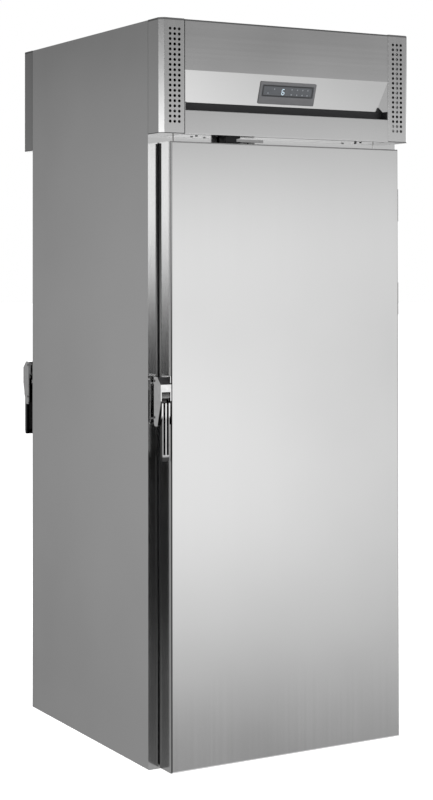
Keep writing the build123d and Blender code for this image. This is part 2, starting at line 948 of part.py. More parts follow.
# Evaporator coil: fins on tubes that run front to rear, between two end plates under the cover.
with BuildPart() as evaporator_coil:
    fin_count = int((cooler_depth - 2 * coil_tube_margin) / coil_fin_pitch)
    with BuildSketch(Plane.XY.offset(coil_bottom)):
        with Locations((coil_x + coil_thickness / 2, cooler_y)):
            with GridLocations(1, coil_fin_pitch, 1, fin_count):
                Rectangle(coil_thickness, fin_thickness)
    extrude(amount=coil_top - coil_bottom)
    plate_span = fin_count * coil_fin_pitch
    with BuildSketch(Plane.XY.offset(coil_bottom - coil_plate_lap)):
        with Locations((coil_x + coil_thickness / 2, cooler_y)):
            with GridLocations(1, plate_span, 1, 2):
                Rectangle(coil_thickness + 2 * coil_plate_lap, coil_plate)
    extrude(amount=cooler_top - coil_bottom + coil_plate_lap)
    row_pitch = (coil_top - coil_bottom - 2 * coil_tube_margin) / (coil_rows - 1)
    with BuildSketch(Plane.XZ.offset(-cooler_y)):
        with Locations((coil_x + coil_thickness / 2, (coil_top + coil_bottom) / 2)):
            with GridLocations(coil_thickness / 2, row_pitch, 2, coil_rows):
                Circle(coil_tube_radius)
    extrude(amount=plate_span / 2 + coil_plate_lap, both=True)
evaporator_coil.part.label = "evaporator_coil"
export_step(evaporator_coil.part, "parts/evaporator_coil.step")

# Drip tray under the coil, seated between the foam edges of the ceiling opening.
with BuildPart() as drip_tray:
    with Locations((coil_x + coil_thickness / 2, cooler_y, tray_bottom)):
        Box(
            coil_thickness + 4 * coil_plate_lap,
            cooler_depth,
            tray_height,
            align=(Align.CENTER, Align.CENTER, Align.MIN),
        )
    offset(amount=-lining, openings=faces().sort_by(Axis.Z)[-1])
drip_tray.part.label = "drip_tray"
export_step(drip_tray.part, "parts/drip_tray.step")

# Air panel under the ceiling: a tray with the guarded fan opening and the outlet slots.
with BuildPart() as air_panel:
    with Locations((0, cooler_y, air_panel_bottom)):
        Box(
            2 * (cooler_x + panel_lap),
            cooler_depth + 2 * panel_lap,
            ceiling_height - lining - air_panel_bottom,
            align=(Align.CENTER, Align.CENTER, Align.MIN),
        )
    fillet(edges().filter_by(Axis.Z), bend)
    offset(amount=-lining, openings=faces().sort_by(Axis.Z)[-1])
    with BuildSketch(Plane.XY.offset(air_panel_bottom)):
        with Locations((cooler_fan_x, cooler_y)):
            Circle(cooler_fan_radius)
            guard_radius = cooler_fan_radius - guard_gap
            while guard_radius > guard_gap:
                Circle(guard_radius, mode=Mode.SUBTRACT)
                Circle(guard_radius - guard_ring, mode=Mode.ADD)
                guard_radius -= guard_gap + guard_ring
            Rectangle(guard_bar, 2 * cooler_fan_radius, mode=Mode.SUBTRACT)
            Rectangle(2 * cooler_fan_radius, guard_bar, mode=Mode.SUBTRACT)
        with Locations((outlet_left + outlet_length / 2, cooler_y)):
            with GridLocations(1, outlet_pitch, 1, outlet_count):
                SlotOverall(outlet_length, outlet_width)
    extrude(amount=lining, mode=Mode.SUBTRACT)
    with BuildSketch(Plane.XY.offset(air_panel_bottom)):
        with Locations((coil_x + coil_thickness / 2, cooler_y)):
            Rectangle(lining, cooler_depth)
    extrude(amount=tray_bottom - air_panel_bottom)
air_panel.part.label = "air_panel"
export_step(air_panel.part, "parts/air_panel.step")

# Motor of the evaporator fan, hung from a strap between the walls of the cover.
cooler_motor_bottom = cooler_fan_level + fan_hub_length / 2 + cooler_motor_gap
cooler_motor_top = cooler_motor_bottom + cooler_motor_length
with BuildPart() as evaporator_fan_motor:
    with BuildSketch(Plane.XY.offset(cooler_motor_bottom)):
        with Locations((cooler_fan_x, cooler_y)):
            Circle(cooler_motor_radius)
    extrude(amount=cooler_motor_length)
    fillet(edges().group_by(Axis.Z)[0], cooler_motor_round)
    with BuildSketch(Plane.XY.offset(cooler_motor_top)):
        with Locations((cooler_fan_x, cooler_y)):
            Rectangle(strap_width, cooler_depth)
    extrude(amount=strap_thickness)
    with BuildSketch(Plane.XY.offset(cooler_fan_level - fan_hub_length / 2)):
        with Locations((cooler_fan_x, cooler_y)):
            Circle(fan_shaft_radius)
    extrude(amount=fan_hub_length + cooler_motor_gap)
evaporator_fan_motor.part.label = "evaporator_fan_motor"
export_step(evaporator_fan_motor.part, "parts/evaporator_fan_motor.step")

# Fan that lifts the cabin air through the coil.
with BuildPart() as evaporator_fan:
    add(fan_rotor(Plane((cooler_fan_x, cooler_y, cooler_fan_level)), cooler_fan_radius))
evaporator_fan.part.label = "evaporator_fan"
export_step(evaporator_fan.part, "parts/evaporator_fan.step")

# Lamp strip under the ceiling sheet, behind the front door.
with BuildPart() as cabin_lamp:
    with BuildSketch(Plane.YZ.offset(-lamp_length / 2)):
        with Locations((lamp_y, ceiling_height - lining)):
            Rectangle(lamp_width, lamp_depth, align=(Align.CENTER, Align.MAX))
        fillet(vertices().group_by(Axis.Y)[0], lamp_round)
    extrude(amount=lamp_length)
cabin_lamp.part.label = "cabin_lamp"
export_step(cabin_lamp.part, "parts/cabin_lamp.step")

# Base tray of the condensing unit.
with BuildPart() as unit_base:
    with Locations(((unit_left + unit_right) / 2, (unit_front + unit_rear) / 2, deck_top)):
        Box(
            unit_right - unit_left,
            unit_rear - unit_front,
            unit_lip,
            align=(Align.CENTER, Align.CENTER, Align.MIN),
        )
    fillet(edges().filter_by(Axis.Z), unit_corner)
    offset(amount=-unit_sheet, openings=faces().sort_by(Axis.Z)[-1])
unit_base.part.label = "unit_base"
export_step(unit_base.part, "parts/unit_base.step")

# Four rubber mounts under the compressor.
unit_floor = deck_top + unit_sheet
with BuildPart() as compressor_mounts:
    with BuildSketch(Plane.XY.offset(unit_floor)):
        with Locations((compressor_x, compressor_y)):
            with GridLocations(mount_spacing_x, mount_spacing_y, 2, 2):
                Circle(mount_radius)
    extrude(amount=mount_height)
    fillet(edges().group_by(Axis.Z)[-1], mount_radius / 6)
compressor_mounts.part.label = "compressor_mounts"
export_step(compressor_mounts.part, "parts/compressor_mounts.step")

# Hermetic compressor: welded steel shell on a feet plate, terminal box and two tube stubs.
shell_base = unit_floor + mount_height
with BuildPart() as compressor:
    with BuildSketch(Plane.XY.offset(shell_base)):
        with Locations((compressor_x, compressor_y)):
            Rectangle(mount_spacing_x + 2 * feet_margin, mount_spacing_y + 2 * feet_margin)
        fillet(vertices(), feet_margin)
    extrude(amount=feet_plate)
    with BuildSketch(Plane.XY.offset(shell_base)):
        with Locations((compressor_x, compressor_y)):
            Circle(compressor_radius - shell_seam)
    extrude(amount=compressor_height)
    fillet(edges().group_by(Axis.Z)[-1], shell_dome)
    with BuildSketch(Plane.XY.offset(shell_base + shell_seam_height)):
        with Locations((compressor_x, compressor_y)):
            Circle(compressor_radius)
    extrude(amount=shell_seam)
    with BuildSketch(Plane.XY.offset(shell_base + terminal_rise)):
        with Locations((compressor_x - compressor_radius, compressor_y)):
            Rectangle(terminal_depth, terminal_width)
    extrude(amount=terminal_height)
    with BuildSketch(Plane.YZ.offset(compressor_x)):
        with Locations(
            (compressor_y - stub_offset, shell_base + discharge_rise),
            (compressor_y + stub_offset, shell_base + suction_rise),
        ):
            Circle(stub_radius)
    extrude(amount=compressor_radius + stub_reach)
compressor.part.label = "compressor"
export_step(compressor.part, "parts/compressor.step")

# Condenser coil: fins across tubes that run left to right, standing on the base tray.
condenser_bottom = unit_floor
condenser_top = condenser_bottom + condenser_height
condenser_level = (condenser_bottom + condenser_top) / 2
with BuildPart() as condenser_coil:
    with BuildSketch(Plane.XY.offset(condenser_bottom)):
        with Locations((condenser_x, condenser_y)):
            with GridLocations(condenser_fin_pitch, 1, int(condenser_width / condenser_fin_pitch), 1):
                Rectangle(fin_thickness, condenser_depth)
            with GridLocations(condenser_width, 1, 2, 1):
                Rectangle(coil_plate, condenser_depth)
    extrude(amount=condenser_height)
    with BuildSketch(Plane.YZ.offset(condenser_x)):
        with Locations((condenser_y, condenser_level)):
            with GridLocations(condenser_depth / 2, condenser_height / condenser_rows, 2, condenser_rows):
                Circle(coil_tube_radius)
    extrude(amount=condenser_width / 2 + coil_plate_lap, both=True)
condenser_coil.part.label = "condenser_coil"
export_step(condenser_coil.part, "parts/condenser_coil.step")

# Shroud that leads the air from the coil into the fan.
shroud_front = condenser_y + condenser_depth / 2
shroud_back = shroud_front + shroud_depth
with BuildPart() as fan_shroud:
    with Locations((condenser_x, shroud_front + shroud_depth / 2, condenser_level)):
        Box(condenser_width, shroud_depth, condenser_height)
    offset(amount=-shroud_sheet, openings=faces().sort_by(Axis.Y)[0])
    with BuildSketch(Plane.XZ.offset(-shroud_back)):
        with Locations((condenser_x, condenser_level)):
            Circle(condenser_fan_radius + fan_tip_gap)
    extrude(amount=shroud_sheet, mode=Mode.SUBTRACT)
fan_shroud.part.label = "fan_shroud"
export_step(fan_shroud.part, "parts/fan_shroud.step")

# Condenser fan and its motor on a stand bolted to the base tray.
rotor_y = shroud_back - fan_hub_length / 4
motor_front = rotor_y + fan_hub_length / 2 + motor_gap
with BuildPart() as condenser_fan:
    add(
        fan_rotor(
            Plane((condenser_x, rotor_y, condenser_level), x_dir=(1, 0, 0), z_dir=(0, 1, 0)),
            condenser_fan_radius,
        )
    )
condenser_fan.part.label = "condenser_fan"
export_step(condenser_fan.part, "parts/condenser_fan.step")

with BuildPart() as condenser_fan_motor:
    with BuildSketch(Plane.XZ.offset(-motor_front)):
        with Locations((condenser_x, condenser_level)):
            Circle(motor_radius)
    extrude(amount=-motor_length)
    fillet(edges().filter_by(GeomType.CIRCLE), motor_round)
    with BuildSketch(Plane.XZ.offset(-motor_front - motor_length / 2)):
        with Locations((condenser_x, unit_floor)):
            Rectangle(
                motor_stand_width,
                condenser_level - unit_floor - motor_radius / 2,
                align=(Align.CENTER, Align.MIN),
            )
    extrude(amount=motor_stand_thickness)
    with BuildSketch(Plane.XY.offset(unit_floor)):
        with Locations((condenser_x, motor_front + motor_length / 2)):
            Rectangle(motor_stand_width, motor_length)
    extrude(amount=motor_stand_thickness)
    with BuildSketch(Plane.XZ.offset(-rotor_y + fan_hub_length / 2)):
        with Locations((condenser_x, condenser_level)):
            Circle(fan_shaft_radius)
    extrude(amount=-fan_hub_length - motor_gap)
condenser_fan_motor.part.label = "condenser_fan_motor"
export_step(condenser_fan_motor.part, "parts/condenser_fan_motor.step")

# Electric box of the machine space, with a cable gland for the supply.
box_x = half_width - skin - box_side_gap - box_width / 2
with BuildPart() as electric_box:
    with Locations((box_x, box_front + box_length / 2, deck_top)):
        Box(box_width, box_length, box_height, align=(Align.CENTER, Align.CENTER, Align.MIN))
    fillet(edges().filter_by(Axis.Z), box_corner)
    fillet(edges().group_by(Axis.Z)[-1], box_corner / 2)
    offset(amount=-box_wall, openings=faces().sort_by(Axis.Z)[0])
electric_box.part.label = "electric_box"
export_step(electric_box.part, "parts/electric_box.step")

with BuildPart() as supply_gland:
    with BuildSketch(Plane.XZ.offset(-box_front - box_length)):
        with Locations((box_x, deck_top + gland_rise)):
            RegularPolygon(gland_nut_radius, 6)
    extrude(amount=-gland_nut_length)
    with BuildSketch(Plane.XZ.offset(-box_front - box_length)):
        with Locations((box_x, deck_top + gland_rise)):
            Circle(gland_radius)
    extrude(amount=-gland_length)
    chamfer(edges().filter_by(GeomType.CIRCLE).sort_by(Axis.Y)[-1], gland_radius / 4)
    with BuildSketch(Plane.XZ.offset(-box_front - box_length)):
        with Locations((box_x, deck_top + gland_rise)):
            Circle(gland_bore)
    extrude(amount=-gland_length, mode=Mode.SUBTRACT)
supply_gland.part.label = "supply_gland"
export_step(supply_gland.part, "parts/supply_gland.step")

# Refrigerant lines: discharge, liquid line with its drier, and suction, one bent tube each.
stub_x = compressor_x + compressor_radius + stub_reach
discharge_z = shell_base + discharge_rise
suction_z = shell_base + suction_rise
condenser_inlet_x = condenser_x - condenser_width / 2 - coil_plate_lap
row_rise = condenser_height / condenser_rows * (condenser_rows - 1) / 2
inlet_point = (condenser_inlet_x, condenser_y + condenser_depth / 4, condenser_level + row_rise)
outlet_point = (condenser_inlet_x, condenser_y - condenser_depth / 4, condenser_level - row_rise)
cooler_wall_y = cooler_front - cooler_wall
drier_y = compressor_y
pipe_routes = (
    (
        (stub_x, compressor_y - stub_offset, discharge_z),
        (stub_x + 4 * pipe_bend, compressor_y - stub_offset, discharge_z),
        (stub_x + 4 * pipe_bend, inlet_point[1], inlet_point[2]),
        inlet_point,
    ),
    (
        outlet_point,
        (0, outlet_point[1], outlet_point[2]),
        (0, unit_rear - pipe_bend, outlet_point[2]),
        (0, unit_rear - pipe_bend, outlet_point[2] + liquid_rise),
        (0, cooler_wall_y, outlet_point[2] + liquid_rise),
    ),
    (
        (stub_x, compressor_y + stub_offset, suction_z),
        (stub_x + 3 * pipe_bend, compressor_y + stub_offset, suction_z),
        (stub_x + 3 * pipe_bend, cooler_wall_y, suction_z),
    ),
)
with BuildPart() as refrigerant_pipes:
    for route in pipe_routes:
        with BuildLine() as centre_line:
            FilletPolyline(*route, radius=pipe_bend)
        with BuildSketch(Plane(origin=route[0], z_dir=centre_line.line % 0)):
            Circle(pipe_radius)
        sweep()
    with BuildSketch(Plane.XZ.offset(-drier_y)):
        with Locations((0, outlet_point[2])):
            Circle(drier_radius)
    extrude(amount=drier_length / 2, both=True)
    chamfer(edges().filter_by(GeomType.CIRCLE).filter_by(lambda e: e.radius == drier_radius), pipe_radius)
refrigerant_pipes.part.label = "refrigerant_pipes"
export_step(refrigerant_pipes.part, "parts/refrigerant_pipes.step")

# Front door: outer skin folded round the front and the four edges.
with BuildPart() as front_door_skin:
    with Locations((door_offset, door_middle, door_floor_gap)):
        Box(
            door_width,
            door_back - door_front,
            door_top - door_floor_gap,
            align=(Align.CENTER, Align.CENTER, Align.MIN),
        )
    fillet(faces().sort_by(Axis.Y)[0].edges(), door_edge_radius)
    offset(amount=-skin, openings=faces().sort_by(Axis.Y)[-1])
front_door_skin.part.label = "front_door_skin"
export_step(front_door_skin.part, "parts/front_door_skin.step")


def seal_band(band):
    """Three-sided band on the gasket's centre line, open at the floor."""
    seal_reach = door_width / 2 - gasket_inset - gasket_width / 2
    seal_top = gasket_top - gasket_width / 2
    with Locations((door_offset, gasket_foot)):
        Rectangle(
            2 * seal_reach + band,
            seal_top + band / 2 - gasket_foot,
            align=(Align.CENTER, Align.MIN),
        )
        Rectangle(
            2 * seal_reach - band,
            seal_top - band / 2 - gasket_foot,
            align=(Align.CENTER, Align.MIN),
            mode=Mode.SUBTRACT,
        )


# Foam core of the door, grooved for the gasket's foot.
with BuildPart() as front_door_core:
    with Locations((door_offset, door_front + skin, door_floor_gap + skin)):
        Box(
            door_width - 2 * skin,
            door_back - lining - door_front - skin,
            door_top - door_floor_gap - 2 * skin,
            align=(Align.CENTER, Align.MIN, Align.MIN),
        )
    fillet(faces().sort_by(Axis.Y)[0].edges(), door_edge_radius - skin)
    with BuildSketch(Plane.XZ.offset(-door_back + lining)):
        seal_band(groove_width)
    extrude(amount=groove_depth - lining, mode=Mode.SUBTRACT)
front_door_core.part.label = "front_door_core"
export_step(front_door_core.part, "parts/front_door_core.step")

# Inner door sheet, slotted for the gasket's foot.
with BuildPart() as front_door_liner:
    with BuildSketch(Plane.XZ.offset(-door_back)):
        with Locations((door_offset, door_floor_gap + skin)):
            Rectangle(
                door_width - 2 * skin,
                door_top - door_floor_gap - 2 * skin,
                align=(Align.CENTER, Align.MIN),
            )
    extrude(amount=lining)
    with BuildSketch(Plane.XZ.offset(-door_back)):
        seal_band(groove_width)
    extrude(amount=lining, mode=Mode.SUBTRACT)
front_door_liner.part.label = "front_door_liner"
export_step(front_door_liner.part, "parts/front_door_liner.step")

# Magnetic gasket on three sides, and a wiper strip under the door.
with BuildPart() as front_door_gasket:
    with BuildSketch(Plane.XZ.offset(-door_back)):
        seal_band(gasket_width)
    extrude(amount=door_back - gasket_y)
    with BuildSketch(Plane.XZ.offset(-door_back)):
        seal_band(groove_width - 2 * groove_play)
    extrude(amount=groove_depth - groove_play)
    with BuildSketch(Plane.XY.offset(wiper_floor_gap)):
        with Locations((door_offset, door_middle)):
            Rectangle(door_width - 2 * gasket_inset, wiper_width)
    extrude(amount=door_floor_gap - wiper_floor_gap)
front_door_gasket.part.label = "front_door_gasket"
export_step(front_door_gasket.part, "parts/front_door_gasket.step")

# Frame leaves of the hinges: a plate on the post face with a knuckle at each end.
with BuildPart() as hinge_frame_leaves:
    for level, leaf_height in hinges:
        knuckle = leaf_height / 3 - knuckle_play
        with BuildSketch(Plane.XY.offset(level - leaf_height / 2)):
            with Locations((hinge_x, front)):
                Rectangle(frame_leaf_width, leaf_thickness, align=(Align.CENTER, Align.MAX))
        extrude(amount=leaf_height)
        for bottom in (level - leaf_height / 2, level + leaf_height / 2 - knuckle):
            with BuildSketch(Plane.XY.offset(bottom)):
                with Locations((hinge_x, hinge_y)):
                    Circle(knuckle_radius)
                    Rectangle(
                        2 * knuckle_radius,
                        front - hinge_y,
                        align=(Align.CENTER, Align.MIN),
                    )
                    Circle(hinge_pin_radius, mode=Mode.SUBTRACT)
            extrude(amount=knuckle)
    with BuildSketch(Plane.XZ.offset(-front)):
        with Locations(*hinge_screws):
            Circle(screw_radius + screw_play)
    extrude(amount=leaf_thickness, mode=Mode.SUBTRACT)
    mirror(about=Plane.XZ)
hinge_frame_leaves.part.label = "hinge_frame_leaves"
export_step(hinge_frame_leaves.part, "parts/hinge_frame_leaves.step")

# Hinge pins, fixed in the frame leaves.
with BuildPart() as hinge_pins:
    for level, leaf_height in hinges:
        pin_bottom = level - leaf_height / 2 - hinge_pin_rise
        with BuildSketch(Plane.XY.offset(pin_bottom)):
            with Locations((hinge_x, hinge_y)):
                Circle(hinge_pin_radius)
        extrude(amount=leaf_height + hinge_pin_rise)
        with BuildSketch(Plane.XY.offset(level + leaf_height / 2)):
            with Locations((hinge_x, hinge_y)):
                Circle(hinge_pin_head_radius)
        extrude(amount=hinge_pin_head)
    mirror(about=Plane.XZ)
hinge_pins.part.label = "hinge_pins"
export_step(hinge_pins.part, "parts/hinge_pins.step")

# Door leaves of the hinges: a plate on the door's edge with the middle knuckle.
with BuildPart() as front_door_hinge_leaves:
    for level, leaf_height in hinges:
        leaf_rear = door_back - door_leaf_rear_margin
        leaf_depth = leaf_rear - door_front - door_leaf_front_margin
        if level == foot_hinge_level:
            leaf_depth = foot_leaf_depth
        with BuildSketch(Plane.XY.offset(level - leaf_height / 2)):
            with Locations((door_right, leaf_rear)):
                Rectangle(leaf_thickness, leaf_depth, align=(Align.MIN, Align.MAX))
        extrude(amount=leaf_height)
        with BuildSketch(Plane.XY.offset(level - leaf_height / 6)):
            with Locations((hinge_x, hinge_y)):
                Circle(knuckle_radius)
                Rectangle(hinge_axis_inset, 2 * knuckle_radius, align=(Align.MAX, Align.CENTER))
                Circle(hinge_pin_radius + pin_play, mode=Mode.SUBTRACT)
        extrude(amount=leaf_height / 3)
front_door_hinge_leaves.part.label = "front_door_hinge_leaves"
export_step(front_door_hinge_leaves.part, "parts/front_door_hinge_leaves.step")

# Latch body on the door's edge: a sloping head over two cheeks that taper towards the foot.
with BuildPart() as front_latch_body:
    with BuildSketch(Plane.YZ.offset(door_left)):
        with BuildLine():
            Polyline(
                (door_front, latch_slot_top),
                (door_front, latch_body_front_top),
                (door_front + latch_body_slope, latch_body_top),
                (latch_rear + latch_body_beak, latch_body_top),
                (latch_rear, latch_body_rear_top),
                (latch_rear, latch_slot_top),
                close=True,
            )
        make_face()
    extrude(amount=-latch_body_reach)
    for cheek_x in (door_left, door_left - latch_body_reach + latch_cheek):
        with BuildSketch(Plane.YZ.offset(cheek_x)):
            with BuildLine():
                Polyline(
                    (door_front, latch_body_front_top),
                    (door_front, latch_level - latch_cheek_front_drop),
                    (door_front + latch_cheek_taper, latch_cheek_bottom),
                    (latch_rear, latch_cheek_bottom),
                    (latch_rear, latch_body_front_top),
                    close=True,
                )
            make_face()
            fillet(vertices().group_by(Axis.Y)[0], latch_cheek_round)
        extrude(amount=-latch_cheek)
    with BuildSketch(Plane.YZ.offset(door_left)):
        with Locations((door_front + latch_plate_margin, latch_level - latch_plate_drop)):
            Rectangle(
                latch_plate_depth,
                latch_body_top + latch_plate_margin - latch_level + latch_plate_drop,
                align=(Align.MIN, Align.MIN),
            )
    extrude(amount=-latch_plate_thickness)
    with BuildSketch(Plane.YZ.offset(door_left)):
        with Locations((latch_y, latch_level)):
            Circle(latch_pin_radius)
    extrude(amount=-latch_body_reach, mode=Mode.SUBTRACT)
front_latch_body.part.label = "front_latch_body"
export_step(front_latch_body.part, "parts/front_latch_body.step")

# Pivot pin of the latch lever, flush with the outer cheek.
with BuildPart() as front_latch_pin:
    with BuildSketch(Plane.YZ.offset(door_left)):
        with Locations((latch_y, latch_level)):
            Circle(latch_pin_radius)
    extrude(amount=-latch_body_reach)
    chamfer(edges().group_by(Axis.X)[0], latch_pin_chamfer)
front_latch_pin.part.label = "front_latch_pin"
export_step(front_latch_pin.part, "parts/front_latch_pin.step")

# Pull lever: hub and neck, wide shoulders with a heel, a grooved grip, and the hook that reaches
# behind the strike's roller.
hook_top = latch_slot_top - hook_slot_gap
with BuildPart() as front_latch_lever:
    with BuildSketch(Plane.YZ.offset(latch_x - lever_width / 2)):
        with Locations((latch_y, latch_level)):
            Circle(lever_hub_radius)
    extrude(amount=lever_width)
    with BuildSketch(Plane.YZ.offset(latch_x - lever_neck_width / 2)):
        with Locations((door_front + lever_neck_setback, lever_shoulder - lever_round)):
            Rectangle(
                lever_neck_depth - lever_neck_setback,
                latch_level - lever_shoulder,
                align=(Align.MIN, Align.MIN),
            )
    extrude(amount=lever_neck_width)
    with BuildSketch(Plane.YZ.offset(latch_x - lever_width / 2)):
        with BuildLine():
            Polyline(
                (door_front, lever_shoulder),
                (door_front + lever_neck_depth, lever_shoulder),
                (door_front + lever_heel_depth, lever_heel_top),
                (door_front + lever_heel_depth, lever_heel_bottom),
                (door_front + lever_grip_depth, lever_heel_bottom),
                (door_front, lever_shoulder - lever_shoulder_length),
                close=True,
            )
        make_face()
        fillet(vertices(), lever_round / 4)
    extrude(amount=lever_width)
    with BuildSketch(Plane.YZ.offset(latch_x - lever_grip_width / 2)):
        with BuildLine():
            Polyline(
                (door_front, lever_shoulder - lever_round),
                (door_front + lever_grip_depth, lever_shoulder - lever_round),
                (door_front + lever_grip_depth, lever_bottom + lever_end),
                (door_front + lever_grip_depth + lever_round / 2, lever_bottom),
                (door_front + lever_round, lever_bottom),
                (door_front, lever_bottom + lever_end),
                close=True,
            )
        make_face()
        fillet(vertices().group_by(Axis.Y)[0], lever_round / 4)
    extrude(amount=lever_grip_width)
    with BuildSketch(Plane.XZ.offset(-door_front)):
        with Locations((latch_x, lever_bottom + lever_end + lever_groove_end)):
            with GridLocations(lever_groove_spacing, 1, 2, 1):
                Rectangle(
                    lever_groove_width,
                    lever_shoulder - lever_bottom - lever_end,
                    align=(Align.CENTER, Align.MIN),
                )
    extrude(amount=-lever_groove_depth, mode=Mode.SUBTRACT)
    with BuildSketch(Plane.YZ.offset(hook_x - hook_thickness / 2)):
        with BuildLine():
            hook_end = latch_y + hook_reach
            Polyline(
                (latch_y, latch_level + lever_hub_radius - hook_root),
                (hook_end - hook_nose - 2 * strike_pin_radius - hook_entry, hook_top - hook_drop),
                (hook_end - hook_nose, hook_top - hook_drop),
                (hook_end - hook_nose, hook_top),
                (hook_end, hook_top),
                (hook_end, hook_top - hook_height),
                (latch_y, latch_level - lever_hub_radius + hook_root),
                close=True,
            )
        make_face()
    extrude(amount=hook_thickness)
    with BuildSketch(Plane.YZ.offset(latch_x - lever_width / 2)):
        with Locations((latch_y, latch_level)):
            Circle(latch_pin_radius + pin_play)
    extrude(amount=lever_width, mode=Mode.SUBTRACT)
front_latch_lever.part.label = "front_latch_lever"
export_step(front_latch_lever.part, "parts/front_latch_lever.step")

# Strikes on the post faces: a plate, two cheeks and the roller that the hook holds.
strike_pin_z = hook_top + hook_gap + strike_pin_radius
with BuildPart() as strikes:
    with BuildSketch(Plane.XZ.offset(-front)):
        with Locations((strike_right - strike_width / 2, strike_bottom + strike_height / 2)):
            RectangleRounded(strike_width, strike_height, strike_plate_round)
        with Locations(*strike_screws):
            Circle(screw_radius + screw_play, mode=Mode.SUBTRACT)
    extrude(amount=strike_thickness)
    for side in (-1, 1):
        with BuildSketch(Plane.YZ.offset(hook_x + side * strike_channel / 2)):
            with Locations((front, strike_bottom + strike_end_margin)):
                Rectangle(
                    strike_reach,
                    strike_height - 2 * strike_end_margin,
                    align=(Align.MAX, Align.MIN),
                )
            fillet(vertices().group_by(Axis.X)[0], strike_round)
        extrude(amount=side * strike_cheek)
    with BuildSketch(Plane.YZ.offset(hook_x - strike_channel / 2)):
        with Locations(
            (front, strike_bottom + strike_end_margin + strike_cheek / 2),
            (front, strike_bottom + strike_height - strike_end_margin - strike_cheek / 2),
        ):
            Rectangle(
                strike_reach - strike_round,
                strike_cheek,
                align=(Align.MAX, Align.CENTER),
            )
        with Locations((front - strike_pin_setback, strike_pin_z)):
            Circle(strike_pin_radius)
    extrude(amount=strike_channel)
    mirror(about=Plane.XZ)
strikes.part.label = "strikes"
export_step(strikes.part, "parts/strikes.step")

# Door switch under the front header: a block with a slotted end and a vertical pivot pin.
with BuildPart() as door_switch_body:
    with BuildSketch(Plane.XY.offset(header_bottom)):
        with Locations((switch_left, switch_rear)):
            Rectangle(switch_length, switch_rear - switch_front, align=(Align.MIN, Align.MAX))
        fillet(vertices(), bend)
    extrude(amount=-switch_drop)
    with BuildSketch(Plane.XY.offset(switch_slot_bottom)):
        with Locations((switch_pivot_x - switch_hub_radius - switch_play, switch_front)):
            Rectangle(switch_length, switch_rear - switch_front, align=(Align.MIN, Align.MIN))
    extrude(amount=switch_slot_top - switch_slot_bottom, mode=Mode.SUBTRACT)
    with BuildSketch(Plane.XY.offset(switch_slot_bottom)):
        with Locations((switch_pivot_x, switch_pivot_y)):
            Circle(switch_pin_radius)
    extrude(amount=switch_slot_top - switch_slot_bottom)
door_switch_body.part.label = "door_switch_body"
export_step(door_switch_body.part, "parts/door_switch_body.step")

# Its lever: a strip on edge along the door's top, with a foot down behind the door.
switch_lever_bottom = switch_slot_bottom + switch_play
switch_lever_height = switch_slot_top - switch_slot_bottom - 2 * switch_play
switch_foot_y = door_back + switch_foot_gap
with BuildPart() as door_switch_lever:
    with BuildSketch(Plane.XY.offset(switch_lever_bottom)):
        with Locations((switch_pivot_x, switch_pivot_y)):
            Circle(switch_hub_radius)
            Rectangle(
                switch_strip_end - switch_pivot_x,
                switch_strip,
                align=(Align.MIN, Align.CENTER),
            )
        with Locations((switch_foot_x, switch_pivot_y)):
            Rectangle(
                switch_strip,
                switch_foot_y + switch_strip - switch_pivot_y,
                align=(Align.CENTER, Align.MIN),
            )
        with Locations((switch_foot_x, switch_foot_y)):
            Rectangle(switch_foot_width, switch_strip, align=(Align.CENTER, Align.MIN))
        with Locations((switch_pivot_x, switch_pivot_y)):
            Circle(switch_pin_radius + pin_play, mode=Mode.SUBTRACT)
    extrude(amount=switch_lever_height)
    with BuildSketch(Plane.XY.offset(door_top - switch_foot_drop)):
        with Locations((switch_foot_x, switch_foot_y)):
            Rectangle(switch_foot_width, switch_strip, align=(Align.CENTER, Align.MIN))
    extrude(amount=switch_lever_bottom - door_top + switch_foot_drop)
door_switch_lever.part.label = "door_switch_lever"
export_step(door_switch_lever.part, "parts/door_switch_lever.step")

# Screws of the hinge leaves, the strikes and the header undersides.
with BuildPart() as cabinet_screws:
    for positions, face_y in (
        (hinge_screws, front - leaf_thickness),
        (strike_screws, front - strike_thickness),
    ):
        with BuildSketch(Plane.XZ.offset(-front - skin)):
            with Locations(*positions):
                Circle(screw_radius)
        extrude(amount=front + skin - face_y)
        with BuildSketch(Plane.XZ.offset(-face_y)):
            with Locations(*positions):
                Circle(screw_head_radius)
        extrude(amount=screw_head)
    for screw_x, setback in soffit_screws:
        with BuildSketch(Plane.XY.offset(header_bottom)):
            with Locations((screw_x, front - setback)):
                Circle(screw_radius)
        extrude(amount=soffit_screw_length)
        with BuildSketch(Plane.XY.offset(header_bottom)):
            with Locations((screw_x, front - setback)):
                Circle(soffit_screw_radius)
        extrude(amount=-screw_head)
    mirror(about=Plane.XZ)
cabinet_screws.part.label = "cabinet_screws"
export_step(cabinet_screws.part, "parts/cabinet_screws.step")

# Rear door and rear latch: the same pieces, mirrored front to rear.
for rear_name, front_piece in (
    ("rear_door_skin", front_door_skin),
    ("rear_door_core", front_door_core),
    ("rear_door_liner", front_door_liner),
    ("rear_door_gasket", front_door_gasket),
    ("rear_door_hinge_leaves", front_door_hinge_leaves),
    ("rear_latch_body", front_latch_body),
    ("rear_latch_pin", front_latch_pin),
    ("rear_latch_lever", front_latch_lever),
):
    with BuildPart() as rear_piece:
        mirror(front_piece.part, about=Plane.XZ)
    rear_piece.part.label = rear_name
    export_step(rear_piece.part, "parts/" + rear_name + ".step")
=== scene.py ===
import math
import bmesh
import bpy
from mathutils import Matrix, Vector


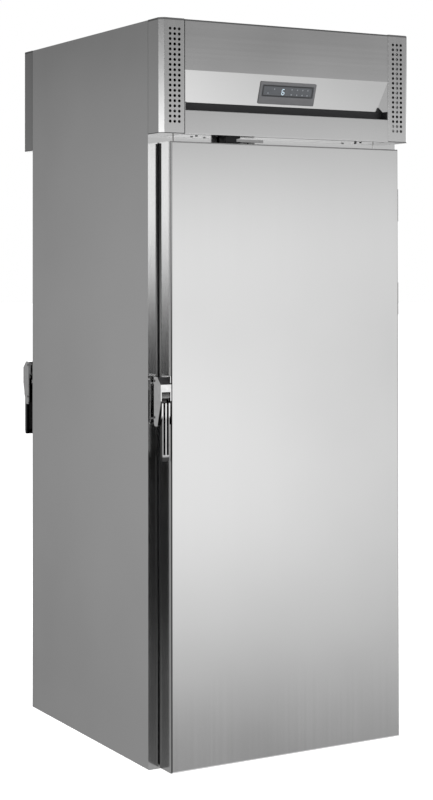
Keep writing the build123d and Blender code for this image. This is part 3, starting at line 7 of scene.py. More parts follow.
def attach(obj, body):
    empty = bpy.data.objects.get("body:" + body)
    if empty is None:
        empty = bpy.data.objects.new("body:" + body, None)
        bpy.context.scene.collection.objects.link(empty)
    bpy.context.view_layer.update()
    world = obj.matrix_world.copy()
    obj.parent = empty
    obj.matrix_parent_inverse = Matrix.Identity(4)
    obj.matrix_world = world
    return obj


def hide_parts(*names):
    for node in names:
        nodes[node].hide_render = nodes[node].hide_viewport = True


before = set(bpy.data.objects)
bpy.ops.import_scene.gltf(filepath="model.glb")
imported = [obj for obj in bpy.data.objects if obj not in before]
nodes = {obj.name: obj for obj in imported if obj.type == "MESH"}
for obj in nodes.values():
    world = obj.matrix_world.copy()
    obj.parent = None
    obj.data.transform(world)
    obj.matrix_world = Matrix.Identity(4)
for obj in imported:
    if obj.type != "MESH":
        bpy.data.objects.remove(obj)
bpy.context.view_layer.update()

# The studio: a white room with a pale floor, one large soft lamp to the front and right of the cabinet, a
# weaker one to its left and one overhead. The metal mirrors walls whose brightness changes with height and
# heading. The camera stands to the left of the front door at eye height.
camera = bpy.data.objects.new("studio_camera", bpy.data.cameras.new("studio_camera"))
bpy.context.scene.collection.objects.link(camera)
bpy.context.scene.camera = camera
camera.location = (-2.83341, -5.0059, 1.50365)
camera.rotation_euler = (math.radians(90.76909), math.radians(0.0651), math.radians(-29.74486))
camera.data.sensor_width = 36.0
camera.data.lens = 77.96
camera.data.shift_x = 0.00026
camera.data.shift_y = -0.1999
camera.data.clip_end = 200.0

bpy.context.scene.view_settings.view_transform = "Standard"


def studio_lamp(name, place, aim, size, watts):
    """A softbox that faces the aim point."""
    light = bpy.data.lights.new(name, "AREA")
    light.shape = "RECTANGLE"
    light.size, light.size_y = size
    light.energy = watts
    lamp = bpy.data.objects.new(name, light)
    lamp.location = place
    lamp.rotation_euler = (Vector(aim) - Vector(place)).to_track_quat("-Z", "Y").to_euler()
    lamp.visible_camera = False
    lamp.visible_glossy = False
    bpy.context.scene.collection.objects.link(lamp)


cabinet_middle = (0.0, 0.0, 1.2)
studio_lamp("softbox_right", (4.6, -7.2, 3.4), cabinet_middle, (4.5, 4.0), 420.0)
studio_lamp("softbox_left", (-6.5, -3.0, 3.2), cabinet_middle, (3.0, 3.0), 160.0)
studio_lamp("softbox_top", (0.5, -0.5, 6.0), (0.0, 0.0, 0.0), (4.5, 4.5), 220.0)

room = bpy.data.worlds.new("white_room")
bpy.context.scene.world = room
room.use_nodes = True
tree = room.node_tree
for node in list(tree.nodes):
    tree.nodes.remove(node)


def joined(tree, kind, *sources, **settings):
    """A node of that kind with its settings made and its inputs filled in order by sockets or values."""
    node = tree.nodes.new(kind)
    for key, value in settings.items():
        setattr(node, key, value)
    for index, source in enumerate(sources):
        if source is None:
            continue
        if isinstance(source, bpy.types.NodeSocket):
            tree.links.new(source, node.inputs[index])
        else:
            node.inputs[index].default_value = source
    return node


direction = joined(tree, "ShaderNodeTexCoord").outputs["Generated"]
heading = joined(tree, "ShaderNodeSeparateXYZ", direction)
ahead = joined(tree, "ShaderNodeMath", heading.outputs["Y"], -1.0, operation="MULTIPLY")
turn = joined(tree, "ShaderNodeMath", heading.outputs["X"], ahead.outputs[0], operation="ARCTAN2")


def graded(source, low, high, *stops):
    """Brightness that changes smoothly with a number, from stops of that number and its brightness."""
    share = joined(tree, "ShaderNodeMapRange", source, low, high, 0.0, 1.0)
    band = joined(tree, "ShaderNodeValToRGB", share.outputs[0])
    band.color_ramp.interpolation = "EASE"
    for index, (place, bright) in enumerate(stops):
        share_there = (place - low) / (high - low)
        elements = band.color_ramp.elements
        stop = elements[0] if index == 0 else elements.new(share_there)
        stop.position = share_there
        stop.color = (bright, bright, bright, 1.0)
    return joined(tree, "ShaderNodeSeparateColor", band.outputs["Color"]).outputs[0]


by_height = (heading.outputs["Z"], -1.0, 1.0)
by_turn = (turn.outputs[0], -math.pi, math.pi)
right_wall = graded(
    *by_height,
    (-1.0, 0.9), (-0.6, 1.25), (-0.48, 1.2), (-0.36, 0.45), (-0.29, 0.19), (-0.265, 0.27), (-0.235, 0.49),
    (-0.2, 0.77), (-0.145, 1.0), (-0.08, 1.01), (-0.03, 0.92), (0.005, 0.86), (0.035, 0.75), (0.06, 0.54),
    (0.085, 0.36), (0.12, 0.22), (0.2, 0.2), (0.5, 0.3), (0.62, 0.03),
)
left_wall = graded(
    *by_height,
    (-1.0, 0.7), (-0.6, 0.9), (-0.4, 0.9), (-0.3, 0.2), (-0.2, 0.04), (-0.14, 0.0), (-0.055, 0.0),
    (-0.034, 0.04), (-0.016, 0.5), (-0.002, 1.6), (0.01, 1.95), (0.07, 1.95), (0.09, 1.3), (0.11, 0.6),
    (0.135, 0.2), (0.5, 0.3), (0.62, 0.03),
)
back_wall = graded(
    *by_height,
    (-1.0, 0.4), (-0.28, 0.36), (-0.1, 0.42), (0.0, 0.41), (0.05, 0.38), (0.08, 0.35), (0.14, 0.25),
    (0.5, 0.25), (0.62, 0.03),
)
side_right = graded(
    *by_turn,
    (-1.2, 0.0), (-0.35, 0.0), (0.0, 0.8), (0.35, 1.0), (0.48, 1.0), (0.66, 0.66), (1.05, 0.45), (1.6, 0.3),
    (2.0, 0.0),
)
side_left = graded(
    *by_turn,
    (-1.75, 0.0), (-1.3, 0.8), (-1.05, 1.0), (-0.5, 1.0), (-0.25, 0.5), (0.0, 0.0),
)
side_back = graded(
    *by_turn,
    (-3.1, 1.5), (-2.9, 0.9), (-2.75, 0.75), (-2.67, 1.0), (-2.1, 1.1), (-1.6, 1.2), (-1.2, 0.0), (0.0, 0.0),
    (0.7, 0.5), (1.6, 0.5), (1.9, 0.0), (2.5, 0.0), (2.62, 1.3), (3.1, 1.5),
)
walls = None
for side, wall in ((side_right, right_wall), (side_left, left_wall), (side_back, back_wall)):
    lit = joined(tree, "ShaderNodeMath", side, wall, operation="MULTIPLY").outputs[0]
    walls = lit if walls is None else joined(tree, "ShaderNodeMath", walls, lit, operation="ADD").outputs[0]
white, room_light, backdrop_light = (1.0, 1.0, 1.0, 1.0), 0.5, 1.0
ray = joined(tree, "ShaderNodeLightPath")
mirrored = joined(
    tree, "ShaderNodeMath", ray.outputs["Is Glossy Ray"], ray.outputs["Is Transmission Ray"],
    operation="MAXIMUM",
).outputs[0]
dim = joined(tree, "ShaderNodeBackground", white, room_light)
shown = joined(tree, "ShaderNodeBackground", white, walls)
backdrop = joined(tree, "ShaderNodeBackground", white, backdrop_light)
first = joined(tree, "ShaderNodeMixShader", mirrored, dim.outputs[0], shown.outputs[0])
second = joined(
    tree, "ShaderNodeMixShader", ray.outputs["Is Camera Ray"], first.outputs[0], backdrop.outputs[0],
)
joined(tree, "ShaderNodeOutputWorld", second.outputs[0])

floor_radius, floor_glow = 60.0, 0.75
mesh = bpy.data.meshes.new("studio_floor")
form = bmesh.new()
bmesh.ops.create_circle(form, cap_ends=True, segments=64, radius=floor_radius)
form.to_mesh(mesh)
form.free()
floor = bpy.data.objects.new("studio_floor", mesh)
bpy.context.scene.collection.objects.link(floor)
floor.visible_glossy = False
paper = bpy.data.materials.new("floor_paper")
paper.use_nodes = True
tree = paper.node_tree
shader = tree.nodes["Principled BSDF"]
shader.inputs["Roughness"].default_value = 0.9
shader.inputs["Base Color"].default_value = (0.78, 0.78, 0.78, 1.0)
ray = joined(tree, "ShaderNodeLightPath")
glow = joined(tree, "ShaderNodeMath", ray.outputs["Is Camera Ray"], floor_glow, operation="MULTIPLY")
tree.links.new(glow.outputs[0], shader.inputs["Emission Strength"])
shader.inputs["Emission Color"].default_value = white
mesh.materials.append(paper)

# Outer side panels: one stainless sheet each from the floor to the top, brushed along its height and
# folded inwards at both ends. The grain is fine, with wider, fainter streaks from the rolling.


def finished(material, *names):
    """Give nodes of the cabinet a material."""
    for name in names:
        for slot in nodes[name].material_slots:
            slot.material = material


def effect_group(name, inputs, outputs):
    """An empty shader group with named inputs and outputs."""
    group = bpy.data.node_groups.new(name, "ShaderNodeTree")
    for label, kind, value in inputs:
        socket = group.interface.new_socket(label, in_out="INPUT", socket_type=kind)
        socket.default_value = value
    for label, kind in outputs:
        group.interface.new_socket(label, in_out="OUTPUT", socket_type=kind)
    return group, group.nodes.new("NodeGroupInput"), group.nodes.new("NodeGroupOutput")


def object_place(tree):
    """The place of a surface point in its object, for a material or a group."""
    return joined(tree, "ShaderNodeTexCoord").outputs["Object"]


def scaled(tree, color, factor):
    """A colour times a number."""
    node = joined(tree, "ShaderNodeVectorMath", color, operation="SCALE")
    tree.links.new(factor, node.inputs["Scale"])
    return node.outputs[0]


brushed, given, put = effect_group(
    "brushed_grain",
    [
        ("Grain", "NodeSocketVector", (900.0, 900.0, 8.0)),
        ("Tone", "NodeSocketColor", (0.6, 0.6, 0.6, 1.0)),
        ("Streaks", "NodeSocketFloat", 0.04),
        ("Roughness", "NodeSocketFloat", 0.3),
    ],
    [("Color", "NodeSocketColor"), ("Roughness", "NodeSocketFloat"), ("Height", "NodeSocketFloat")],
)
place = object_place(brushed)
grained = joined(
    brushed, "ShaderNodeVectorMath", place, given.outputs["Grain"], operation="MULTIPLY",
).outputs[0]
fine = joined(brushed, "ShaderNodeTexNoise", grained, None, 1.0, 3.0, 0.6)
wide = joined(brushed, "ShaderNodeVectorMath", grained, None, None, 0.06, operation="SCALE")
wide = joined(brushed, "ShaderNodeTexNoise", wide.outputs[0], None, 1.0, 2.0, 0.5)
sheet = joined(brushed, "ShaderNodeTexNoise", place, None, 2.4, 2.0, 0.5)
blend = joined(brushed, "ShaderNodeMath", fine.outputs[0], wide.outputs[0], operation="ADD")
swing = joined(brushed, "ShaderNodeMath", blend.outputs[0], 1.0, operation="SUBTRACT")
tone = joined(
    brushed, "ShaderNodeMath", swing.outputs[0], given.outputs["Streaks"], 1.0, operation="MULTIPLY_ADD",
)
broad = joined(brushed, "ShaderNodeMapRange", sheet.outputs[0], 0.3, 0.7, 0.97, 1.03)
tone = joined(brushed, "ShaderNodeMath", tone.outputs[0], broad.outputs[0], operation="MULTIPLY")
brushed.links.new(scaled(brushed, given.outputs["Tone"], tone.outputs[0]), put.inputs["Color"])
gloss = joined(
    brushed, "ShaderNodeMath", swing.outputs[0], 0.06, given.outputs["Roughness"], operation="MULTIPLY_ADD",
)
spread = joined(brushed, "ShaderNodeMapRange", sheet.outputs[0], 0.3, 0.7, -0.02, 0.02)
gloss = joined(brushed, "ShaderNodeMath", gloss.outputs[0], spread.outputs[0], operation="ADD")
brushed.links.new(gloss.outputs[0], put.inputs["Roughness"])
brushed.links.new(blend.outputs[0], put.inputs["Height"])


def plain_material(name, **settings):
    """A material whose shader has the given settings by socket name, with its tree and its shader."""
    material = bpy.data.materials.new(name)
    material.use_nodes = True
    shader = material.node_tree.nodes["Principled BSDF"]
    for label, value in settings.items():
        shader.inputs[label.replace("_", " ")].default_value = value
    return material, material.node_tree, shader


def raised(tree, shader, height, strength, distance):
    """Let a height make the surface uneven."""
    bump = tree.nodes.new("ShaderNodeBump")
    bump.inputs["Strength"].default_value = strength
    bump.inputs["Distance"].default_value = distance
    tree.links.new(height, bump.inputs["Height"])
    tree.links.new(bump.outputs["Normal"], shader.inputs["Normal"])


def surfaced(tree, shader, group, relief, distance, **values):
    """Let an effect group with the given inputs drive the colour, the roughness and the relief."""
    surface = tree.nodes.new("ShaderNodeGroup")
    surface.node_tree = group
    for label, value in values.items():
        surface.inputs[label].default_value = value
    tree.links.new(surface.outputs["Color"], shader.inputs["Base Color"])
    tree.links.new(surface.outputs["Roughness"], shader.inputs["Roughness"])
    raised(tree, shader, surface.outputs["Height"], relief, distance)


def brushed_sheet(name, grain, tone, roughness, streaks=0.02, relief=0.05):
    """Stainless or coated sheet metal with a brushed or rolled grain along one way."""
    material, tree, shader = plain_material(name, Metallic=1.0)
    surfaced(
        tree, shader, brushed, relief, 0.0002,
        Grain=grain, Tone=(tone, tone, tone, 1.0), Streaks=streaks, Roughness=roughness,
    )
    return material


upright_grain = (1600.0, 1600.0, 5.0)
level_grain = (5.0, 1600.0, 1600.0)
upright_steel = brushed_sheet("steel_brushed_upright", upright_grain, 0.68, 0.12)
finished(upright_steel, "side_panel_left", "side_panel_right")

# Frames of the two door openings: posts with a jamb and a return, folded from one stainless sheet each,
# with a top rail hung between them.
level_steel = brushed_sheet("steel_brushed_level", level_grain, 0.68, 0.12)
finished(upright_steel, "frame_posts")
finished(level_steel, "frame_rails")

# Insulation: blocks of rigid polyurethane foam between the sheets of the walls, the ceiling and the doors,
# pale yellow, with fine closed cells where they are cut.
foam, tree, shader = plain_material("insulation_foam", Roughness=0.85)
place = object_place(tree)
cells = joined(tree, "ShaderNodeTexVoronoi", place, None, 900.0)
patches = joined(tree, "ShaderNodeTexNoise", place, None, 9.0, 3.0, 0.6)


def two_colored(tree, shader, source, *stops):
    """Let a number choose the base colour, between two stops of that number and its colour."""
    band = joined(tree, "ShaderNodeValToRGB", source)
    for index, (share, color) in enumerate(stops):
        stop = band.color_ramp.elements[index]
        stop.position = share
        stop.color = (*color, 1.0)
    tree.links.new(band.outputs[0], shader.inputs["Base Color"])


two_colored(tree, shader, patches.outputs[0], (0.3, (0.68, 0.55, 0.3)), (0.7, (0.78, 0.68, 0.42)))
raised(tree, shader, cells.outputs["Distance"], 0.6, 0.0006)
finished(foam, "side_insulation", "ceiling_insulation", "front_door_core", "rear_door_core")

# Inside of the cabin: side linings, ceiling sheet and floor sheet of thinner stainless steel with a duller
# rolled finish. The floor sheet carries fine scuffs from the trolley's wheels.
inner_steel = brushed_sheet("steel_inner_upright", (1100.0, 1100.0, 7.0), 0.62, 0.24, 0.04)
inner_level_steel = brushed_sheet("steel_inner_level", (1100.0, 7.0, 1100.0), 0.62, 0.24, 0.04)
floor_steel = brushed_sheet("steel_floor", (900.0, 6.0, 900.0), 0.55, 0.3, 0.12, 0.12)
finished(inner_steel, "side_linings")
finished(inner_level_steel, "ceiling_lining")
finished(floor_steel, "floor_plate")

# Bumper rails: flat stainless bars on round standoffs along both side walls, where a trolley rubs.
rail_steel = brushed_sheet("steel_bumper_rail", (1100.0, 9.0, 1100.0), 0.66, 0.2, 0.06, 0.1)
finished(rail_steel, "bumper_rails")

# Machine space: roof deck, angle bars, fan shroud and the unit's base tray of galvanised sheet, with the
# frosty patches that the zinc leaves.
zinc, tree, shader = plain_material("zinc_spangle", Metallic=1.0)
place = object_place(tree)
bent = joined(tree, "ShaderNodeTexNoise", place, None, 30.0, 2.0, 0.5)
bent = joined(tree, "ShaderNodeVectorMath", bent.outputs["Color"], None, None, 0.02, operation="SCALE")
bent = joined(tree, "ShaderNodeVectorMath", place, bent.outputs[0], operation="ADD")
spangle = joined(tree, "ShaderNodeTexVoronoi", bent.outputs[0], None, 70.0)
facet = joined(tree, "ShaderNodeSeparateColor", spangle.outputs["Color"]).outputs[0]


def glossed(tree, shader, source, *limits):
    """Let a number drive the roughness, mapped from two limits of it to two limits of roughness."""
    gloss = joined(tree, "ShaderNodeMapRange", source, *limits)
    tree.links.new(gloss.outputs[0], shader.inputs["Roughness"])


two_colored(tree, shader, facet, (0.0, (0.42, 0.44, 0.46)), (1.0, (0.6, 0.62, 0.64)))
glossed(tree, shader, facet, 0.0, 1.0, 0.32, 0.52)
raised(tree, shader, facet, 0.15, 0.0003)
finished(zinc, "roof_deck", "top_ties", "unit_base", "fan_shroud")

# Lid of the machine space: a folded stainless sheet that lies on the angle bars.
finished(level_steel, "top_cover")

# Header pillars: chamfered stainless corners with rows of punched air holes, the rear pair darker. A painted
# shadow darkens their lower edge and painted shade their top edge. The soffits close the headers from below.
header_steel = brushed_sheet("steel_header_pillar", upright_grain, 0.68, 0.14)


def darkened_along(material, *bands, even=False):
    """Darken a metal's colour along directions; most bands paint shade and dark reflections into it. Each
    band has one, two places on it and the shade at each. An even band is the same on both sides of the middle
    planes."""
    tree = material.node_tree
    shader = tree.nodes["Principled BSDF"]
    color = shader.inputs["Base Color"].links[0].from_socket
    place = object_place(tree)
    if even:
        place = joined(tree, "ShaderNodeVectorMath", place, operation="ABSOLUTE").outputs[0]
    for way, *limits in bands:
        along = joined(tree, "ShaderNodeVectorMath", place, way, operation="DOT_PRODUCT").outputs["Value"]
        color = scaled(tree, color, joined(tree, "ShaderNodeMapRange", along, *limits).outputs[0])
    tree.links.new(color, shader.inputs["Base Color"])
    return material


Y_WAY, Z_WAY = (0.0, 1.0, 0.0), (0.0, 0.0, 1.0)
# The lower edge band is a painted shadow, the top edge band painted shade; the rear pillars are darker.
front_to_rear, painted_foot_shadow, painted_top_shade = (Y_WAY, -0.2, 0.2), (Z_WAY, 1.89, 1.8908), (Z_WAY, 2.2235, 2.2245)
darkened_along(header_steel, (*front_to_rear, 1.0, 0.64), (*painted_foot_shadow, 0.2, 1.0), (*painted_top_shade, 1.0, 0.45))
finished(header_steel, "header_pillars")
finished(level_steel, "header_soffits")

# Front and rear fascia: one folded stainless sheet each, brushed along the width, with painted shade along the
# top edge.
# The front one has the sloping recess for the controller and turns on two studs near its top edge.
fascia_steel = brushed_sheet("steel_fascia", level_grain, 0.68, 0.12)
# Painted shade along the fascia's top edge.
darkened_along(fascia_steel, (*painted_top_shade, 1.0, 0.4))
finished(fascia_steel, "front_fascia", "rear_fascia")
finished(level_steel, "fascia_pivots")

# Intake grille behind the slot under the recess: a moulding of black plastic with a fine eroded texture.
# The body of the door switch and the gland of the supply cable are of the same plastic.
moulded, given, put = effect_group(
    "moulded_skin",
    [
        ("Color", "NodeSocketColor", (0.1, 0.1, 0.1, 1.0)),
        ("Shade", "NodeSocketFloat", 0.1),
        ("Roughness", "NodeSocketFloat", 0.5),
        ("Grain", "NodeSocketFloat", 900.0),
    ],
    [("Color", "NodeSocketColor"), ("Roughness", "NodeSocketFloat"), ("Height", "NodeSocketFloat")],
)
place = object_place(moulded)
grain = joined(moulded, "ShaderNodeTexNoise", place, None, 1.0, 2.0, 0.5)
moulded.links.new(given.outputs["Grain"], grain.inputs["Scale"])
cloud = joined(moulded, "ShaderNodeTexNoise", place, None, 14.0, 3.0, 0.6)
both = joined(moulded, "ShaderNodeMath", grain.outputs[0], cloud.outputs[0], operation="ADD")
swing = joined(moulded, "ShaderNodeMath", both.outputs[0], 1.0, operation="SUBTRACT")
tone = joined(
    moulded, "ShaderNodeMath", swing.outputs[0], given.outputs["Shade"], 1.0, operation="MULTIPLY_ADD",
)
moulded.links.new(scaled(moulded, given.outputs["Color"], tone.outputs[0]), put.inputs["Color"])
gloss = joined(
    moulded, "ShaderNodeMath", swing.outputs[0], 0.12, given.outputs["Roughness"], operation="MULTIPLY_ADD",
)
moulded.links.new(gloss.outputs[0], put.inputs["Roughness"])
moulded.links.new(grain.outputs[0], put.inputs["Height"])


def moulded_material(name, color, roughness, shade=0.3, grain=900.0, relief=0.2, **settings):
    """Plastic, rubber or paint with a fine uneven skin and a slightly cloudy tone."""
    material, tree, shader = plain_material(name, **settings)
    surfaced(
        tree, shader, moulded, relief, 0.0003,
        Color=(*color, 1.0), Shade=shade, Roughness=roughness, Grain=grain,
    )
    return material


black_plastic = moulded_material("plastic_black", (0.012, 0.012, 0.013), 0.55)
finished(black_plastic, "intake_grille", "door_switch_body", "supply_gland")

# Controller: a grey plastic bezel on the sloping face with a dark glossy window let into it.
bezel_plastic = moulded_material("plastic_bezel_grey", (0.115, 0.115, 0.12), 0.42)
finished(bezel_plastic, "controller")
window_film = moulded_material(
    "film_display_window", (0.065, 0.07, 0.078), 0.22, 0.1, 400.0, 0.02, Coat_Weight=0.3, Coat_Roughness=0.05,
)
finished(window_film, "display_window")

# Print and light of the display: a thin dark line round its edge, a lit seven-bar figure, and three columns
# of faint round indicator marks with a small key mark at each place beside the figure.
MM = 0.001
merge_gap, sharp_angle = 0.0005, math.radians(35.0)


def new_piece(name, form, body, material, slot, *replaced):
    """Make an object of a form built in millimetres, riding on a body, with a material; the slot is not used.
    """
    bmesh.ops.remove_doubles(form, verts=form.verts[:], dist=merge_gap)
    bmesh.ops.recalc_face_normals(form, faces=form.faces[:])
    bmesh.ops.scale(form, vec=(MM, MM, MM), verts=form.verts[:])
    mesh = bpy.data.meshes.new(name)
    form.to_mesh(mesh)
    form.free()
    mesh.materials.append(material)
    for polygon in mesh.polygons:
        polygon.use_smooth = True
    mesh.set_sharp_from_angle(angle=sharp_angle)
    piece = bpy.data.objects.new(name, mesh)
    bpy.context.scene.collection.objects.link(piece)
    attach(piece, body)
    if replaced:
        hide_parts(*replaced)


def bevelled(form, edges, reach, segments=2):
    """Round edges of a form."""
    bmesh.ops.bevel(
        form, geom=edges, offset=reach, offset_type="OFFSET", segments=segments, profile=0.5,
        affect="EDGES", material=-1,
    )


def block(form, size, place=Matrix.Identity(4)):
    """A block of that size round a place, by its vertices."""
    made = bmesh.ops.create_cube(form, size=1.0)["verts"]
    bmesh.ops.scale(form, vec=size, verts=made)
    bmesh.ops.transform(form, matrix=place, verts=made)
    return made


def verts_of(made):
    """The vertices among the geometry that an operator gives back."""
    return [item for item in made["geom"] if isinstance(item, bmesh.types.BMVert)]


slope = math.radians(18.0)
bezel_middle = Vector((0.0, -487.942, 2025.5))
bezel_face = Matrix.Translation(bezel_middle) @ Matrix.Rotation(math.pi / 2.0 + slope, 4, "X")
window_proud, window_rise = 2.5, 7.0
window_face = bezel_face @ Matrix.Translation((0.0, window_rise, window_proud))
line_black = moulded_material("print_black", (0.011, 0.011, 0.012), 0.3, relief=0.02)
line_size, line_corner, line_width, line_height = (182.0, 35.0, 1.0), 5.0, 3.6, 0.1
form = bmesh.new()
ring = bmesh.ops.create_grid(form, x_segments=1, y_segments=1, size=0.5)["verts"]
bmesh.ops.scale(form, vec=line_size, verts=ring)
bmesh.ops.bevel(
    form, geom=ring, offset=line_corner, offset_type="OFFSET", segments=5, profile=0.5, affect="VERTICES",
    material=-1,
)
rim = set(bmesh.ops.inset_individual(form, faces=form.faces[:], thickness=line_width)["faces"])
bmesh.ops.delete(form, geom=[face for face in form.faces if face not in rim], context="FACES")
lifted = verts_of(bmesh.ops.extrude_face_region(form, geom=form.faces[:]))
bmesh.ops.translate(form, vec=(0.0, 0.0, line_height), verts=lifted)
bmesh.ops.transform(form, matrix=window_face, verts=form.verts[:])
new_piece("display_outline", form, "front_fascia", line_black, "display_film")

digit_light = moulded_material(
    "light_display_digit", (0.5, 0.62, 0.7), 0.4, relief=0.0, Emission_Color=(0.62, 0.8, 0.92, 1.0),
    Emission_Strength=0.5,
)
digit_middle = Vector((-16.9, -9.2 + window_rise, 0.0))
bar_length, bar_width, bar_height, lean = 7.0, 1.7, 0.12, math.radians(4.0)
bar_step, bar_side = 8.4, 4.2
bars_of_six = (
    (0.0, bar_step, 0.0), (0.0, 0.0, 0.0), (0.0, -bar_step, 0.0),
    (-bar_side, bar_side, 90.0), (-bar_side, -bar_side, 90.0), (bar_side, -bar_side, 90.0),
)
form = bmesh.new()
for across, up, turned in bars_of_six:
    bar = block(
        form, (bar_length, bar_width, bar_height),
        Matrix.Translation((across, up, bar_height / 2.0)) @ Matrix.Rotation(math.radians(turned), 4, "Z"),
    )
    ends = [edge for edge in {e for v in bar for e in v.link_edges}
            if abs((edge.verts[0].co - edge.verts[1].co).z) > 0.05]
    bevelled(form, ends, bar_width * 0.45, 1)
shear = Matrix.Identity(4)
shear[0][1] = math.tan(lean)
bmesh.ops.transform(form, matrix=shear, verts=form.verts[:])
bmesh.ops.transform(form, matrix=window_face @ Matrix.Translation(digit_middle), verts=form.verts[:])
new_piece("display_digit", form, "front_fascia", digit_light, "display_film")

mark_print = moulded_material("print_display_marks", (0.19, 0.2, 0.215), 0.4, relief=0.02)
mark_radius, mark_height = 2.2, 0.1
mark_places = [(column, row) for column in (14.0, 34.0, 53.5) for row in (6.5, -9.5)]
mark_places += [(-48.7, 5.7), (-70.5, -7.6), (72.0, 6.5), (72.0, -9.5)]
form = bmesh.new()
for across, up in mark_places:
    bmesh.ops.create_cone(
        form, cap_ends=True, segments=16, radius1=mark_radius, radius2=mark_radius, depth=mark_height,
        matrix=window_face @ Matrix.Translation((across, up, mark_height / 2.0)),
    )
new_piece("display_marks", form, "front_fascia", mark_print, "display_film")

# Doors: a stainless skin folded round the front and edges, brushed along the height, with painted shade
# on its two rounded upright front edges, and a flat inner sheet.
door_steel = brushed_sheet("steel_door", upright_grain, 0.68, 0.12)
diagonal = 0.7071
# The bands are painted shade on the rounded upright edges of each door's front.
latch_edge_painted_dark, hinge_edge_painted_dark = (0.6474, 0.648, 1.0, 0.35), (0.6411, 0.6417, 1.0, 0.3)
for side in (1.0, -1.0):
    darkened_along(
        door_steel, ((-diagonal, diagonal * side, 0.0), *latch_edge_painted_dark),
        ((diagonal, diagonal * side, 0.0), *hinge_edge_painted_dark),
    )
finished(door_steel, "front_door_skin", "rear_door_skin")
finished(inner_steel, "front_door_liner", "rear_door_liner")

# Edge strips of the doors: a thin dark metal strip along the back corner of each door's latch side, over
# the folded edge of the skin.
strip_metal = brushed_sheet("aluminium_anodised_strip", upright_grain, 0.16, 0.2)
strip_size, strip_middle = (0.6, 11.0, 1856.0), (-414.7, -437.7, 934.0)
ENDS = (("front", 1.0), ("rear", -1.0))


def set_to_end(form, side):
    """Mirror a form that is made for the front to the rear, where the side is negative."""
    bmesh.ops.scale(form, vec=(1.0, side, 1.0), verts=form.verts[:])


for end, side in ENDS:
    form = bmesh.new()
    block(form, strip_size, Matrix.Translation(strip_middle))
    bevelled(form, form.edges[:], 0.25)
    set_to_end(form, side)
    new_piece(end + "_door_edge_strip", form, end + "_door", strip_metal, "black_moulding")

# Door seals: a grey rubber bellows with a magnet strip, pushed by its barbed foot into a slot round three
# sides of the inner sheet, mitred at the corners, and a finned wiper of the same rubber under the door.
seal_rubber = moulded_material("rubber_door_seal", (0.055, 0.056, 0.06), 0.6, 0.35, 500.0)
door_middle_x, door_back = -4.5, -432.0
seal_reach, seal_foot, seal_top = 391.0, 8.0, 1846.0
wiper_x, wiper_y, wiper_length = -407.5, -468.5, 806.0
seal_side = [
    (2.0, -5.6), (4.6, -3.6), (2.4, -3.2), (2.4, 0.0), (9.0, 0.0), (12.0, 0.7), (12.0, 1.5), (9.0, 2.5),
    (11.8, 3.5), (12.0, 4.6), (12.0, 6.0), (11.4, 6.6), (3.4, 6.6), (2.6, 6.1),
]
wiper_side = [
    (10.0, 4.0), (10.0, 3.1), (9.2, 3.1), (8.4, 1.0), (7.4, 1.0), (6.4, 3.1), (5.4, 3.1), (4.6, 1.0),
    (3.6, 1.0), (2.6, 3.1), (1.2, 3.1), (0.5, 1.0),
]


def section_of(half):
    """A closed section from the points of its one half and their mirror images."""
    return half + [(-across, out) for across, out in reversed(half)]


def loop_of(form, points):
    """A closed loop of edges through points."""
    corners = [form.verts.new(point) for point in points]
    return [form.edges.new((corners[i], corners[i - 1])) for i in range(len(corners))]


def drawn_out(form, loop, *steps):
    """Draw a closed loop along, one matrix for each stretch, and close both ends."""
    start = list(loop)
    for step in steps:
        made = bmesh.ops.extrude_edge_only(form, edges=loop)
        new = set(verts_of(made))
        bmesh.ops.transform(form, matrix=step, verts=list(new))
        edges = [item for item in made["geom"] if isinstance(item, bmesh.types.BMEdge)]
        loop = [edge for edge in edges if edge.verts[0] in new and edge.verts[1] in new]
    for end in (start, loop):
        bmesh.ops.contextual_create(form, geom=end)


# The seal runs up one side, across the top and down the other: each matrix moves its open end on to the
# plane of the next mitre, and the last one to the foot.
mitre_height = seal_top + door_middle_x - seal_reach
to_first_mitre = Matrix(((1, 0, 0, 0), (0, 1, 0, 0), (-1, 0, 0, mitre_height), (0, 0, 0, 1)))
to_second_mitre = Matrix(((-1, 0, 0, 2 * door_middle_x), (0, 1, 0, 0), (0, 0, 1, 0), (0, 0, 0, 1)))
to_foot = Matrix(((1, 0, 0, 0), (0, 1, 0, 0), (0, 0, 0, seal_foot), (0, 0, 0, 1)))
for end, side in ENDS:
    form = bmesh.new()
    loop = loop_of(form, [
        (door_middle_x - seal_reach + across, door_back + out, seal_foot)
        for across, out in section_of(seal_side)
    ])
    drawn_out(form, loop, to_first_mitre, to_second_mitre, to_foot)
    loop = loop_of(form, [(wiper_x, wiper_y + across, up) for across, up in section_of(wiper_side)])
    drawn_out(form, loop, Matrix.Translation((wiper_length, 0.0, 0.0)))
    set_to_end(form, side)
    new_piece(end + "_door_seal", form, end + "_door", seal_rubber, "gasket_rubber", end + "_door_gasket")

# Hinges: pressed stainless leaves screwed to the posts and the door's edge, with headed steel pins. The
# cabinet's screws are of the same steel, with painted shade on those that hold the soffits above the doors.
hinge_steel = brushed_sheet("steel_hinge", (700.0, 700.0, 30.0), 0.6, 0.22, 0.05, 0.1)
finished(hinge_steel, "hinge_frame_leaves", "front_door_hinge_leaves", "rear_door_hinge_leaves", "hinge_pins")
screw_steel = brushed_sheet("steel_screws", (700.0, 700.0, 700.0), 0.6, 0.22, 0.05, 0.1)
# Painted shade on the screws under the soffits.
soffit_screw_shade = (Z_WAY, 1.87, 1.88)
darkened_along(screw_steel, (*soffit_screw_shade, 1.0, 0.12))
finished(screw_steel, "cabinet_screws")

